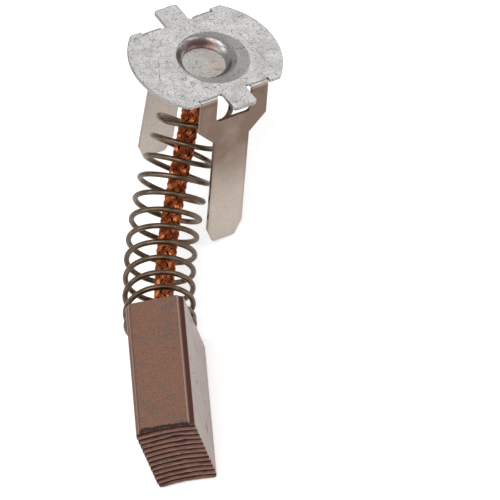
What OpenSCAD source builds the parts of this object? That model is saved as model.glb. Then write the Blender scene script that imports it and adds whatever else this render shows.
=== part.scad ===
// Carbon brush with a coil spring, a braided shunt and a stamped end cap with two legs.
// It lies as it comes to rest: block flat on the table, spring curved up, cap on its leg tips.
// The origin is the centre of the block's lower face; Y runs from the contact end to the tail.

/* [Carbon block] */
// Width of the block, side to side
block_w = 7; // [5.5:0.5:9]
// Depth of the block, lower face to upper face
block_d = 12.5; // [10:0.5:16]
// Length of the block, contact end to tail
block_l = 18; // [12:0.5:26]
// Chamfer along the four long edges
edge_chamfer = 0.6; // [0.3:0.1:1]
// Radius of the commutator that the contact face is formed to
commutator_r = 20; // [9:0.5:30]
// Pitch of the bedding ridges across the contact face
ridge_pitch = 0.99; // [0.8:0.01:1.6]
// Height of the lowest ridge over the block's lower face
ridge_start = 0.4; // [0:0.05:0.8]
// Height of one bedding ridge
ridge_h = 0.25; // [0.1:0.05:0.5]
// Depth of the shunt hole in the tail
hole_depth = 6; // [4:0.5:8]
// Wall of tamped powder between the shunt and the hole
tamping_wall = 0.7; // [0.4:0.1:0.9]
// How far the tamped powder lies below the tail face
tamping_sink = 0.4; // [0.2:0.1:0.8]

/* [Braided shunt] */
// Diameter over the braid
shunt_d = 2.2; // [1.6:0.1:2.6]
// Depth of the furrows between the strands
furrow = 0.16; // [0.05:0.01:0.25]
// Length of the braid's lay, one full turn of a strand
braid_lay = 9; // [6:0.5:14]

/* [Spring] */
// Diameter of the spring wire
wire_d = 0.65; // [0.5:0.05:0.8]
// Outside diameter of the coils
spring_od = 8.6; // [8:0.1:9.4]
// Pitch of the open coils along the spring's own line
coil_pitch = 2.47; // [1.8:0.01:3.2]
// Closed turns at the tail
closed_turns_tail = 1; // [1:0.25:2]
// Closed turns under the cap
closed_turns_cap = 1.75; // [1:0.25:2.5]

/* [End cap] */
// Thickness of the cap's tinned sheet
sheet_t = 0.4; // [0.3:0.05:0.6]
// Diameter of the cap's disc
disc_d = 18.3; // [17:0.1:22]
// Play between each leg and the block when the block slides between them
leg_play = 0.1; // [0.05:0.05:0.4]
// Inner radius of the leg bends
bend_r = 0.2; // [0.1:0.05:0.6]
// Width of a leg at its root
root_w = 9.2; // [7.5:0.1:11]
// Width of a leg below its shoulders
strip_w = 4.8; // [3.5:0.1:6]
// Length of a leg from the disc's outer face to its tip
leg_l = 22.2; // [18:0.1:30]
// Length of the straight feet above the shoulders
foot_l = 4.7; // [4.3:0.1:6]
// Height of the tapered tip
tip_h = 2; // [1:0.1:3]
// Taper of the tip on each side
tip_inset = 0.75; // [0.3:0.05:1.2]
// Outward splay of the near leg, in degrees
near_splay = 5; // [0:0.5:6]
// Outward splay of the far leg, in degrees
far_splay = 2; // [0:0.5:6]
// Width of the window in the leg's root
window_w = 4.7; // [4:0.1:6]
// Depth of the window below the disc's outer face
window_h = 3.7; // [3:0.1:3.9]
// Width of the flat tab that was cut out of the window
tab_w = 3.2; // [2.5:0.1:3.8]
// Projection of the tab past the leg
tab_l = 2.4; // [1.5:0.1:2.9]

/* [Cap dimple] */
// Margin of the shallow dish round the spring's end coil
dish_margin = 0.1; // [0:0.05:0.5]
// Depth of the shallow dish
dish_h = 0.25; // [0.1:0.05:0.4]
// Shift of the dish along the disc's chords
dish_x = 0.7; // [-1:0.05:1]
// Shift of the dish across the disc's chords
dish_y = -0.6; // [-1:0.05:1]
// Play between the pocket where the shunt is welded and the spring's end coil round it
pocket_play = 0.15; // [0.1:0.01:0.8]
// Depth of the pocket below the dish
pocket_h = 0.9; // [0.4:0.1:1.2]
// Run of the pocket's sloping wall
pocket_run = 0.25; // [0.2:0.05:0.5]

/* [Rest pose] */
// Distance of the cap's centre past the block's tail
cap_reach = 26.45; // [20:0.1:30]
// Sideways shift of the cap's centre
cap_shift = 10.3; // [-12:0.1:12]
// Turn of the cap about the vertical, in degrees
cap_turn = 28; // [0:1:45]
// Lean of the cap from the vertical, in degrees
cap_lean = 22.5; // [0:0.5:35]
// Sideways shift of the spring's end on the block's tail
spring_side = -0.58; // [-1:0.02:1]
// How far the spring's end lies below the middle of the tail
spring_drop = 0.36; // [0:0.02:0.6]
// Dip of the spring's line behind the tail, in degrees
spring_dip = 6; // [0:0.5:8]
// Pull of the tail on the spring's line
tail_pull = 20; // [14:0.5:26]
// Pull of the cap on the spring's line
cap_pull = 11; // [8:0.5:16]

/* [Hidden] */

// Clearances between pieces that touch
seat_gap = 0.02;
shunt_play = 0.05;
cut = 0.01;

// Block
tail_y = block_l / 2;
contact_y = -block_l / 2;
axis_z = block_d / 2;
form_axis_y = contact_y - sqrt(pow(commutator_r, 2) - pow(block_w / 2, 2));
ridge_last = floor((block_d - ridge_start) / ridge_pitch);
bore_r = shunt_d / 2 + shunt_play;
hole_r = bore_r + tamping_wall;
mouth_chamfer = 0.3;

// Cap, in its own frame: outer face at z = 0, chords along X, legs down
leg_gap = block_d + 2 * leg_play;
outer_r = bend_r + sheet_t;
chord_y = leg_gap / 2 + sheet_t;
shoulder_l = (root_w - strip_w) / 2;
bend_y = chord_y - outer_r;
slot_w = (window_w - tab_w) / 2;
relief_w = 0.15;
corner_r = 0.5;
tip_r = 0.35;
dish_run = 0.35;
dish_r = spring_od / 2 + dish_margin;
pocket_x = 0;
pocket_y = 0;
pocket_wall = 0.3;
seat_x = 0.35;
seat_y = -0.15;
pocket_r = spring_od / 2 - wire_d - pocket_play - norm([seat_x - pocket_x, seat_y - pocket_y]);
boss_h = sheet_t + dish_h + pocket_h;

// Cap, placed: the lowest corner of each leg tip stands at z = 0
tip_x = strip_w / 2 - tip_inset - tip_r;
cap_pos = [cap_shift, tail_y + cap_reach,
    sin(cap_lean) * tip_x + cos(cap_lean) * (leg_l - tip_r) + tip_r];
cap_x = [cos(cap_turn) * cos(cap_lean), sin(cap_turn) * cos(cap_lean), -sin(cap_lean)];
cap_y = [-sin(cap_turn), cos(cap_turn), 0];
cap_n = [cos(cap_turn) * sin(cap_lean), sin(cap_turn) * sin(cap_lean), cos(cap_lean)];

// Spring: its line leaves the tail along Y and meets the cap's dish square
mean_r = (spring_od - wire_d) / 2;
closed_pitch = wire_d + seat_gap;
line_steps = 120;
spring_start = [spring_side, tail_y, axis_z - spring_drop];
spring_end = cap_point([seat_x, seat_y, -sheet_t - dish_h]);
start_phase = -31;
rings_per_turn = 14;
wire_sides = 8;

// Shunt: from the bottom of its hole to the weld under the pocket
shunt_start = [0, tail_y, axis_z];
shunt_end = cap_point([pocket_x - 0.4, pocket_y + 0.35, -boss_h - seat_gap]);
shunt_dip = 4;
shunt_tail_pull = 12.2;
shunt_cap_pull = 11.8;
shunt_sides = 24;
shunt_step = 0.65;
strands = 6;

function cap_point(p) = cap_pos + p.x * cap_x + p.y * cap_y + p.z * cap_n;
function unit(v) = v / norm(v);
function bezier(p, t) = pow(1 - t, 3) * p[0] + 3 * t * pow(1 - t, 2) * p[1]
    + 3 * t * t * (1 - t) * p[2] + pow(t, 3) * p[3];

// A line with straight ends: lead-in, cubic curve that starts with a dip, lead-out
function curved_line(from, to, lead_in, lead_out, pull_in, pull_out, dip) =
    let (a = from + [0, lead_in, 0],
         b = to - lead_out * cap_n,
         curve = [a, a + pull_in * [0, cos(dip), -sin(dip)], b - pull_out * cap_n, b])
    concat([from], [for (i = [0:line_steps]) bezier(curve, i / line_steps)], [to]);

// Running length at each point of a line
function lengths(line, i = 0, sum = 0, out = []) = i == len(line) ? out
    : let (s = i == 0 ? 0 : sum + norm(line[i] - line[i - 1]))
      lengths(line, i + 1, s, concat(out, [s]));

function column(line, run, axis) = [for (i = [0:len(line) - 1]) [run[i], line[i][axis]]];
function place(table, s) = [lookup(s, table[0]), lookup(s, table[1]), lookup(s, table[2])];
function table_of(line) = let (run = lengths(line)) [for (k = [0:2]) column(line, run, k)];

// Frame across a line at length s: two directions square to it
side_ref = unit([cap_n.z, 0, -cap_n.x]);
function heading(table, s, total) =
    let (h = 0.5, lo = max(0, s - h), hi = min(total, s + h))
    unit(place(table, hi) - place(table, lo));
function across(t) = unit(side_ref - (side_ref * t) * t);

spring_line = curved_line(spring_start, spring_end, 1.5, 1.6, tail_pull, cap_pull, spring_dip);
spring_table = table_of(spring_line);
spring_total = max(lengths(spring_line));
tail_rise = closed_turns_tail * closed_pitch;
cap_rise = closed_turns_cap * closed_pitch;
open_rise = spring_total - wire_d - tail_rise - cap_rise - 2 * seat_gap;
open_turns = open_rise / coil_pitch;
turns = closed_turns_tail + open_turns + closed_turns_cap;

// Length along the spring's line that the wire has reached after a number of turns
function rise(n) = wire_d / 2 + seat_gap + (
    n < closed_turns_tail ? n * closed_pitch
    : n < closed_turns_tail + open_turns ? tail_rise + (n - closed_turns_tail) * coil_pitch
    : tail_rise + open_rise + (n - closed_turns_tail - open_turns) * closed_pitch);

function wire_point(n) =
    let (s = rise(n), t = heading(spring_table, s, spring_total), u = across(t), v = cross(t, u),
         a = start_phase + 360 * n)
    place(spring_table, s) + mean_r * (cos(a) * u + sin(a) * v);

function wire_ring(n) =
    let (h = 0.01, p = wire_point(n), w = unit(wire_point(n + h) - wire_point(n - h)),
         b = unit(cross(w, p - place(spring_table, rise(n)))), r = cross(b, w))
    [for (k = [0:wire_sides - 1])
        let (a = 360 * k / wire_sides) p + wire_d / 2 * (cos(a) * r + sin(a) * b)];

shunt_line = curved_line(shunt_start, shunt_end, 0.8, 1.2, shunt_tail_pull, shunt_cap_pull, shunt_dip);
shunt_table = table_of(shunt_line);
shunt_total = max(lengths(shunt_line));

// Radius over the braid: two sets of strands cross and dip under each other
function braid_r(a, s) =
    let (lay = 360 * s / braid_lay,
         over = sin(strands * (a + lay) / 2),
         under = sin(strands * (a - lay) / 2))
    shunt_d / 2 - furrow * pow(over * under, 2);

function shunt_ring(s) =
    let (t = heading(shunt_table, s, shunt_total), u = across(t), v = cross(t, u), p = place(shunt_table, s))
    [for (k = [0:shunt_sides - 1])
        let (a = 360 * k / shunt_sides) p + braid_r(a, s) * (cos(a) * u + sin(a) * v)];

// Closed skin over a list of rings
module sweep(rings) {
    n = len(rings[0]);
    last = len(rings) - 1;
    points = [for (ring = rings) each ring];
    sides = [for (i = [0:last - 1]) for (k = [0:n - 1])
        let (a = i * n + k, b = i * n + (k + 1) % n) each [[a, b, b + n], [a, b + n, a + n]]];
    near_end = [[for (k = [0:n - 1]) n - 1 - k]];
    far_end = [[for (k = [0:n - 1]) last * n + k]];
    polyhedron(points, concat(sides, near_end, far_end), convexity = 10);
}

// Outline of the block across its length, with its chamfered corners
module block_outline() {
    w = block_w / 2;
    c = edge_chamfer;
    polygon([[-w + c, 0], [w - c, 0], [w, c], [w, block_d - c],
        [w - c, block_d], [-w + c, block_d], [-w, block_d - c], [-w, c]]);
}

// Form cutter with the commutator's radius and one tooth for each furrow between two ridges
module bedding_cutter() {
    p = ridge_pitch;
    deep = commutator_r + ridge_h;
    brow = commutator_r + 0.1 * ridge_h;
    teeth = [for (i = [0:ridge_last]) let (z = ridge_start + i * p) each [
        [deep, z - 0.42 * p], [brow, z - 0.22 * p], [commutator_r, z - 0.14 * p],
        [commutator_r, z + 0.14 * p], [brow, z + 0.22 * p], [deep, z + 0.42 * p]]];
    translate([0, form_axis_y, 0])
        rotate_extrude($fn = 180)
            polygon(concat([[0, -1], [deep, -1]], teeth, [[deep, block_d + 1], [0, block_d + 1]]));
}

module carbon_block() {
    color([0.45, 0.33, 0.29])
    difference() {
        translate([0, tail_y, 0]) rotate([90, 0, 0]) linear_extrude(block_l) block_outline();
        bedding_cutter();
        translate([0, tail_y + cut, axis_z]) rotate([90, 0, 0])
            cylinder(h = hole_depth + cut, r = hole_r, $fn = 48);
        translate([0, tail_y, axis_z]) rotate([90, 0, 0])
            cylinder(h = mouth_chamfer, r1 = hole_r + mouth_chamfer, r2 = hole_r, $fn = 48);
    }
}

// Tamped copper powder that grips the shunt in its hole, dished round the braid
module tamping_plug() {
    plug_l = hole_depth - tamping_sink - seat_gap;
    color([0.35, 0.22, 0.17])
    translate([0, tail_y - tamping_sink, axis_z]) rotate([90, 0, 0])
    difference() {
        cylinder(h = plug_l, r = hole_r - seat_gap, $fn = 48);
        translate([0, 0, -cut]) cylinder(h = plug_l + 2 * cut, r = bore_r, $fn = 48);
        translate([0, 0, -cut]) cylinder(h = 0.3, r1 = hole_r - 0.2, r2 = bore_r, $fn = 48);
    }
}

module braided_shunt() {
    buried = hole_depth - 0.3;
    rings_in = ceil(buried / shunt_step);
    rings_out = ceil(shunt_total / shunt_step);
    color([0.62, 0.30, 0.17])
    sweep(concat(
        [for (i = [0:rings_in - 1]) let (back = buried * (1 - i / rings_in))
            [for (p = shunt_ring(0)) p - [0, back, 0]]],
        [for (i = [0:rings_out]) shunt_ring(shunt_total * i / rings_out)]));
}

module coil_spring() {
    steps = ceil(turns * rings_per_turn);
    color([0.34, 0.31, 0.27])
    sweep([for (i = [0:steps]) wire_ring(turns * i / steps)]);
}

// Section of the sheet across the chords on one side: flat, bend and splayed leg
module bent_section(splay) {
    turn = 90 - splay;
    arc = 8;
    centre = [chord_y - outer_r, -outer_r];
    leg_run = (leg_l - outer_r + bend_r * sin(splay)) / cos(splay);
    down = leg_run * [sin(splay), -cos(splay)];
    outer_arc = [for (i = [0:arc]) let (a = 90 - turn * i / arc) centre + outer_r * [cos(a), sin(a)]];
    inner_arc = [for (i = [0:arc]) let (a = splay + turn * i / arc) centre + bend_r * [cos(a), sin(a)]];
    tip = [outer_arc[arc] + down, inner_arc[0] + down];
    polygon(concat([[0, 0]], outer_arc, tip, inner_arc, [[0, -sheet_t]]));
}

// Outline of one leg seen square to it, with feet, shoulders and a tapered tip
module leg_outline() {
    r = root_w / 2;
    s = strip_w / 2;
    shoulder = -foot_l - shoulder_l;
    taper = -leg_l + tip_h;
    tip_y = -leg_l + tip_r;
    polygon(concat([[-r, 1], [-r, -foot_l], [-s, shoulder], [-s, taper]], corner([-tip_x, tip_y], 180, tip_r),
        corner([tip_x, tip_y], 270, tip_r), [[s, taper], [s, shoulder], [r, -foot_l], [r, 1]]));
}

// Quarter round of a corner, about a centre
function corner(centre, from, r) = [for (a = [from:15:from + 90]) centre + r * [cos(a), sin(a)]];

// Slab for the window and the slots beside the tab, rounded at its lower corners
module window_outline() {
    w = window_w / 2;
    x = w - corner_r;
    y = -window_h + corner_r;
    polygon(concat([[w, 1], [-w, 1]], corner([-x, y], 180, corner_r), corner([x, y], 270, corner_r)));
}

// Flat tab with rounded corners, seen from above
module tab_outline() {
    w = tab_w / 2;
    x = w - corner_r;
    y = chord_y + tab_l - corner_r;
    polygon(concat([[-w, 0], [w, 0]], corner([x, y], 0, corner_r), corner([-x, y], 90, corner_r)));
}

// Outline of the disc between its two chords
module disc_outline() {
    intersection() {
        circle(d = disc_d, $fn = 120);
        square([disc_d, 2 * chord_y], center = true);
    }
}

// One half of the sheet: flat disc, and a leg bent down over its chord with the tab left flat
module cap_half(splay) {
    translate([0, 0, -sheet_t]) linear_extrude(sheet_t) {
        difference() {
            disc_outline();
            translate([-disc_d / 2, -disc_d]) square([disc_d, disc_d]);
            translate([-root_w / 2 - relief_w, bend_y]) square([root_w + 2 * relief_w, disc_d]);
        }
        intersection() {
            tab_outline();
            translate([-tab_w / 2, bend_y - cut]) square([tab_w, disc_d]);
        }
    }
    difference() {
        intersection() {
            translate([-root_w / 2, 0, 0]) rotate([90, 0, 90]) linear_extrude(root_w)
                bent_section(splay);
            translate([0, chord_y + 5, 0]) rotate([90, 0, 0]) linear_extrude(10) leg_outline();
        }
        translate([0, chord_y - sheet_t - cut + 10, 0]) rotate([90, 0, 0]) linear_extrude(10)
            window_outline();
        translate([-tab_w / 2, bend_y, -1]) cube([tab_w, outer_r, 2]);
        for (side = [-1, 1])
            translate([side * (tab_w + slot_w) / 2, bend_y + slot_w / 2, -1])
                cylinder(h = 2, d = slot_w, $fn = 24);
    }
}

module end_cap() {
    pocket_in_r = pocket_r - pocket_wall;
    color([0.78, 0.78, 0.78])
    translate(cap_pos) rotate([0, cap_lean, cap_turn])
    difference() {
        union() {
            cap_half(far_splay);
            mirror([0, 1, 0]) cap_half(near_splay);
            translate([dish_x, dish_y, -sheet_t - dish_h])
                cylinder(h = dish_h + sheet_t / 2, r1 = dish_r - dish_run + 0.2, r2 = dish_r + 0.3, $fn = 72);
            translate([pocket_x, pocket_y, -boss_h])
                cylinder(h = pocket_h + sheet_t / 2, r1 = pocket_r - pocket_run, r2 = pocket_r, $fn = 72);
        }
        translate([dish_x, dish_y, -dish_h])
            cylinder(h = dish_h + cut, r1 = dish_r - dish_run, r2 = dish_r, $fn = 72);
        translate([pocket_x, pocket_y, -dish_h - pocket_h])
            cylinder(h = pocket_h + cut, r1 = pocket_in_r - pocket_run, r2 = pocket_in_r, $fn = 72);
    }
}

carbon_block();
tamping_plug();
braided_shunt();
coil_spring();
end_cap();
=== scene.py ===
"""Carbon brush with its coil spring, braided shunt and stamped end cap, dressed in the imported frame.

Sizes are millimetres and become metres where a mesh is written. Each piece follows the same
driving values as the frame: the block lies flat, the spring rises from its tail in a curve, and
the cap stands on the tips of its two legs.
"""

import logging
import math
from collections.abc import Sequence
from dataclasses import dataclass, field
from enum import Enum
from itertools import product

import bpy
import numpy as np
from mathutils import Matrix, Vector, noise
from mathutils.geometry import delaunay_2d_cdt


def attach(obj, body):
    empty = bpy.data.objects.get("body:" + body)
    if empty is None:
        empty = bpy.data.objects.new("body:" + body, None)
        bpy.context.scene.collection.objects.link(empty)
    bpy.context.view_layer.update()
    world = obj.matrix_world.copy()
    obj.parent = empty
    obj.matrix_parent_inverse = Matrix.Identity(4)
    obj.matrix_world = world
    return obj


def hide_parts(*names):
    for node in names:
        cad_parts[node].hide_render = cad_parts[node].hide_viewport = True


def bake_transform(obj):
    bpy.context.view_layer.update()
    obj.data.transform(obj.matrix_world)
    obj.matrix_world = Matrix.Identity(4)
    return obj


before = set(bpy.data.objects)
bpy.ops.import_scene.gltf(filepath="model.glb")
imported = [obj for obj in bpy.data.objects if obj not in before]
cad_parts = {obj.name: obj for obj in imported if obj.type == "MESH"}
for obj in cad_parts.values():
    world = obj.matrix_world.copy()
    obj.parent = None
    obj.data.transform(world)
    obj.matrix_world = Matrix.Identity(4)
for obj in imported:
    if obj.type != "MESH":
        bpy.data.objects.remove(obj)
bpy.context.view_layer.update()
MM = 0.001
Points = np.ndarray
Pair = tuple[float, float]
Triple = tuple[float, float, float]
Colour = tuple[float, float, float]
Socket = bpy.types.NodeSocket
log = logging.getLogger("carbon_brush")


class Body(Enum):
    """The two bodies that the block's travel parts."""

    BLOCK = "block_side"
    CAP = "cap_side"


class Slot(Enum):
    """Material slots of the record."""

    GRAPHITE = "copper_graphite"
    POWDER = "tamped_powder"
    BRAID = "copper_braid"
    SPRING = "spring_steel"
    SHEET = "tinned_sheet"


def unit(vectors: Points) -> Points:
    """Returns the vectors at length one."""
    return vectors / np.linalg.norm(vectors, axis=-1, keepdims=True)


def smooth_step(low: Points | float, high: Points | float, value: Points) -> Points:
    """Returns 0 below low, 1 above high and a smooth ramp between them."""
    t = np.clip((value - low) / (high - low), 0, 1)
    return t * t * (3 - 2 * t)


def bell(value: Points, centre: float, width: float) -> Points:
    """Returns 1 at the centre and about 0 beyond twice the width."""
    return np.exp(-(((value - centre) / width) ** 2))


def upright(x: Points, z: Points) -> Points:
    """Returns places across and up the block as points in the plane y = 0."""
    return np.stack([x, 0 * x, z], -1)


@dataclass(frozen=True)
class Grain:
    """Fractal noise that clouds or roughens a surface.

    Its scale is the number of features per millimetre, one for all axes or one for each. Its seed
    picks another part of the noise, its octaves are layers, each finer than the last, and its
    size is what a value of 1 stands for.
    """

    scale: tuple[float, ...] | float
    seed: float
    octaves: int = 2
    size: float = 1

    def at(self, points: Points) -> Points:
        """Reads the noise.

        Args:
            points: places in millimetres, in two or three dimensions.

        Returns:
            One value a point, about as far as the size on either side of 0.
        """
        shift = Vector((self.seed, 1.7 * self.seed, -2.3 * self.seed))
        places = points * np.asarray(self.scale)
        if places.shape[-1] == 2:
            places = np.column_stack([places, np.zeros(len(places))])
        values = [noise.fractal(Vector(p) + shift, 1.0, 2.0, self.octaves) for p in places]
        return self.size * np.array(values)


@dataclass(frozen=True)
class Spot:
    """A soft spot on a face: its share in the middle, and about 0 beyond twice its radius."""

    centre: tuple[float, ...]
    radius: tuple[float, ...] | float
    share: float = 1


def spotted(points: Points, spots: Sequence[Spot]) -> Points:
    """Adds up soft spots.

    Args:
        points: places in millimetres, with as many axes as the centre of a spot.
        spots: the spots.

    Returns:
        Their shares together at each place.
    """
    total = np.zeros(len(points))
    for spot in spots:
        away = (points - np.asarray(spot.centre)) / spot.radius
        total += spot.share * np.exp(-np.sum(away**2, axis=-1))
    return total


# Shading


@dataclass(frozen=True)
class Mottle:
    """Noise over a finish: its features per millimetre, its detail and its roughness."""

    scale: float
    detail: float = 3
    rough: float = 0.6


@dataclass(frozen=True)
class Fade:
    """How a value is turned into a share, held at the ends.

    The share is at_low where the value is low and at_high where it is high; high may be the
    smaller of the two.
    """

    low: float
    high: float
    at_low: float = 0
    at_high: float = 1

    def of(self, values: Points) -> Points:
        """Returns the share of each value, with a smooth ramp between the ends."""
        return self.at_low + (self.at_high - self.at_low) * smooth_step(self.low, self.high, values)


@dataclass(frozen=True)
class CrackNet:
    """A net of thin ragged cracks.

    Its scale is the number of meshes per millimetre. A crack's half width and how far it strays
    are shares of a mesh, and its kinks are counted to a mesh.
    """

    scale: float
    width: float
    stray: float = 0.6
    kinks: float = 2.2


class Shade:
    """The node tree of one material, with short calls to add nodes and to join them."""

    def __init__(self, name: str) -> None:
        """Starts a material that holds one Principled shader.

        Args:
            name: the material's name.
        """
        self.material = bpy.data.materials.new(name)
        self.material.use_nodes = True
        self.tree = self.material.node_tree
        self.surface = self.tree.nodes["Principled BSDF"]

    def add(self, kind: str, settings: dict | None = None, **inputs: object) -> bpy.types.Node:
        """Adds a node.

        Args:
            kind: the node's type, without its ShaderNode prefix.
            settings: attributes of the node itself.
            **inputs: a value or an output for each input, by its name with _ for a blank.

        Returns:
            The node.
        """
        node = self.tree.nodes.new("ShaderNode" + kind)
        for key, value in (settings or {}).items():
            setattr(node, key, value)
        for key, value in inputs.items():
            self.set(node, key.replace("_", " "), value)
        return node

    def set(self, node: bpy.types.Node, key: str | int, value: object) -> None:
        """Sets an input of a node to a value, or links an output to it.

        Args:
            node: the node.
            key: the input's name or number.
            value: a number, a vector, a colour or an output of another node.
        """
        if isinstance(value, Socket):
            self.tree.links.new(value, node.inputs[key])
        else:
            node.inputs[key].default_value = value

    def place(self) -> Socket:
        """Object coordinates in millimetres."""
        return self.stretch(self.add("TexCoord").outputs["Object"], (1 / MM,) * 3)

    def stretch(self, where: Socket, scale: Sequence[float], turn: float = 0) -> Socket:
        """Stretches coordinates along each axis and turns them about Z by some degrees."""
        turned = (0, 0, math.radians(turn))
        return self.add("Mapping", Vector=where, Scale=scale, Rotation=turned).outputs["Vector"]

    def sheet(self, name: str) -> Socket:
        """Reads a named UV map of the mesh."""
        return self.add("UVMap", {"uv_map": name}).outputs["UV"]

    def layer(self, name: str) -> Socket:
        """Reads an attribute that the mesh carries."""
        return self.add("Attribute", {"attribute_name": name}).outputs["Fac"]

    def noise(self, where: Socket, mottle: Mottle, output: str = "Fac") -> Socket:
        """Reads noise at coordinates in millimetres, as a value or else as a colour."""
        sizes = {"Scale": mottle.scale, "Detail": mottle.detail, "Roughness": mottle.rough}
        return self.add("TexNoise", Vector=where, **sizes).outputs[output]

    def ramp(self, value: Socket, stops: Sequence[tuple[float, Colour]]) -> Socket:
        """Colours a value.

        Args:
            value: the value, from 0 to 1.
            stops: a place and a colour for each stop.

        Returns:
            The colour.
        """
        node = self.add("ValToRGB", Fac=value)
        elements = node.color_ramp.elements
        while len(elements) < len(stops):
            elements.new(0.5)
        for element, (at, colour) in zip(elements, stops):
            element.position = at
            element.color = (*colour, 1)
        return node.outputs["Color"]

    def span(self, value: Socket, fade: Fade) -> Socket:
        """Turns a value into a share.

        Args:
            value: the value.
            fade: where it lies and what it becomes.

        Returns:
            The share.
        """
        node = self.add(
            "MapRange",
            Value=value,
            From_Min=fade.low,
            From_Max=fade.high,
            To_Min=fade.at_low,
            To_Max=fade.at_high,
        )
        return node.outputs["Result"]

    def mix(self, share: object, first: object, second: object) -> Socket:
        """Mixes two colours.

        Args:
            share: share of the second one.
            first: a colour or an output.
            second: a colour or an output.

        Returns:
            The mixed colour.
        """
        node = self.add("Mix", {"data_type": "RGBA"})
        for index, value in ((0, share), (6, first), (7, second)):
            self.set(node, index, (*value, 1) if isinstance(value, tuple) else value)
        return node.outputs[2]

    def math(self, kind: str, first: object, second: object = 0.0) -> Socket:
        """Works out one sum.

        Args:
            kind: the Math node's operation.
            first: a number or an output.
            second: a number or an output, where the operation takes two.

        Returns:
            The result.
        """
        node = self.add("Math", {"operation": kind})
        self.set(node, 0, first)
        self.set(node, 1, second)
        return node.outputs[0]

    def cracks(self, where: Socket, net: CrackNet) -> Socket:
        """Draws a net of thin ragged cracks.

        Args:
            where: coordinates in millimetres.
            net: the net's sizes.

        Returns:
            1 in the middle of a crack and 0 off it.
        """
        ragged = self.add("VectorMath", {"operation": "MULTIPLY_ADD"})
        self.set(ragged, 0, self.noise(where, Mottle(net.kinks * net.scale), "Color"))
        self.set(ragged, 1, (net.stray / net.scale,) * 3)
        self.set(ragged, 2, where)
        meshes = self.add(
            "TexVoronoi",
            {"feature": "DISTANCE_TO_EDGE"},
            Vector=ragged.outputs["Vector"],
            Scale=net.scale,
        )
        return self.span(meshes.outputs["Distance"], Fade(0, net.width, 1, 0))

    def stroke(
        self, where: Socket, start: Points, end: Points, face: Points, width: float
    ) -> Socket:
        """Draws a straight mark on a flat face.

        Args:
            where: coordinates in millimetres.
            start: one end of the mark.
            end: the other end.
            face: the face's normal.
            width: full width of the mark at its middle, in millimetres.

        Returns:
            1 on the mark and 0 off it.
        """
        along = (end - start) / 2
        half = float(np.linalg.norm(along))
        away = self.add("VectorMath", {"operation": "SUBTRACT"})
        self.set(away, 0, where)
        self.set(away, 1, ((start + end) / 2).tolist())
        mask = None
        for row, fade in (
            (unit(along), Fade(0.6 * half, half, 1, 0)),
            (unit(np.cross(face, along)), Fade(0.2 * width, 0.5 * width, 1, 0)),
            (unit(face), Fade(0.3, 0.5, 1, 0)),
        ):
            dot = self.add("VectorMath", {"operation": "DOT_PRODUCT"})
            self.set(dot, 0, away.outputs["Vector"])
            self.set(dot, 1, row.tolist())
            near = self.span(self.math("ABSOLUTE", dot.outputs["Value"]), fade)
            mask = near if mask is None else self.math("MULTIPLY", mask, near)
        return mask

    def bump(self, height: Socket, depth: float, under: Socket | None = None) -> Socket:
        """Raises the surface by a height.

        Args:
            height: values from 0 to 1.
            depth: what a value of 1 stands for, in millimetres.
            under: the normal of an earlier bump.

        Returns:
            The new normal.
        """
        node = self.add("Bump", Height=height, Strength=1.0, Distance=depth * MM)
        if under is not None:
            self.set(node, "Normal", under)
        return node.outputs["Normal"]

    def finish(self, **inputs: object) -> bpy.types.Material:
        """Sets the Principled shader's inputs.

        Args:
            **inputs: a value, a colour or an output for each input, by its name with _ for a blank.

        Returns:
            The material.
        """
        for key, value in inputs.items():
            value = (*value, 1) if isinstance(value, tuple) else value
            self.set(self.surface, key.replace("_", " "), value)
        return self.material


@dataclass(frozen=True)
class Nick:
    """A dark nick in the block's side face: the y and z of its ends, and its width."""

    start: Pair
    end: Pair
    width: float


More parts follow.
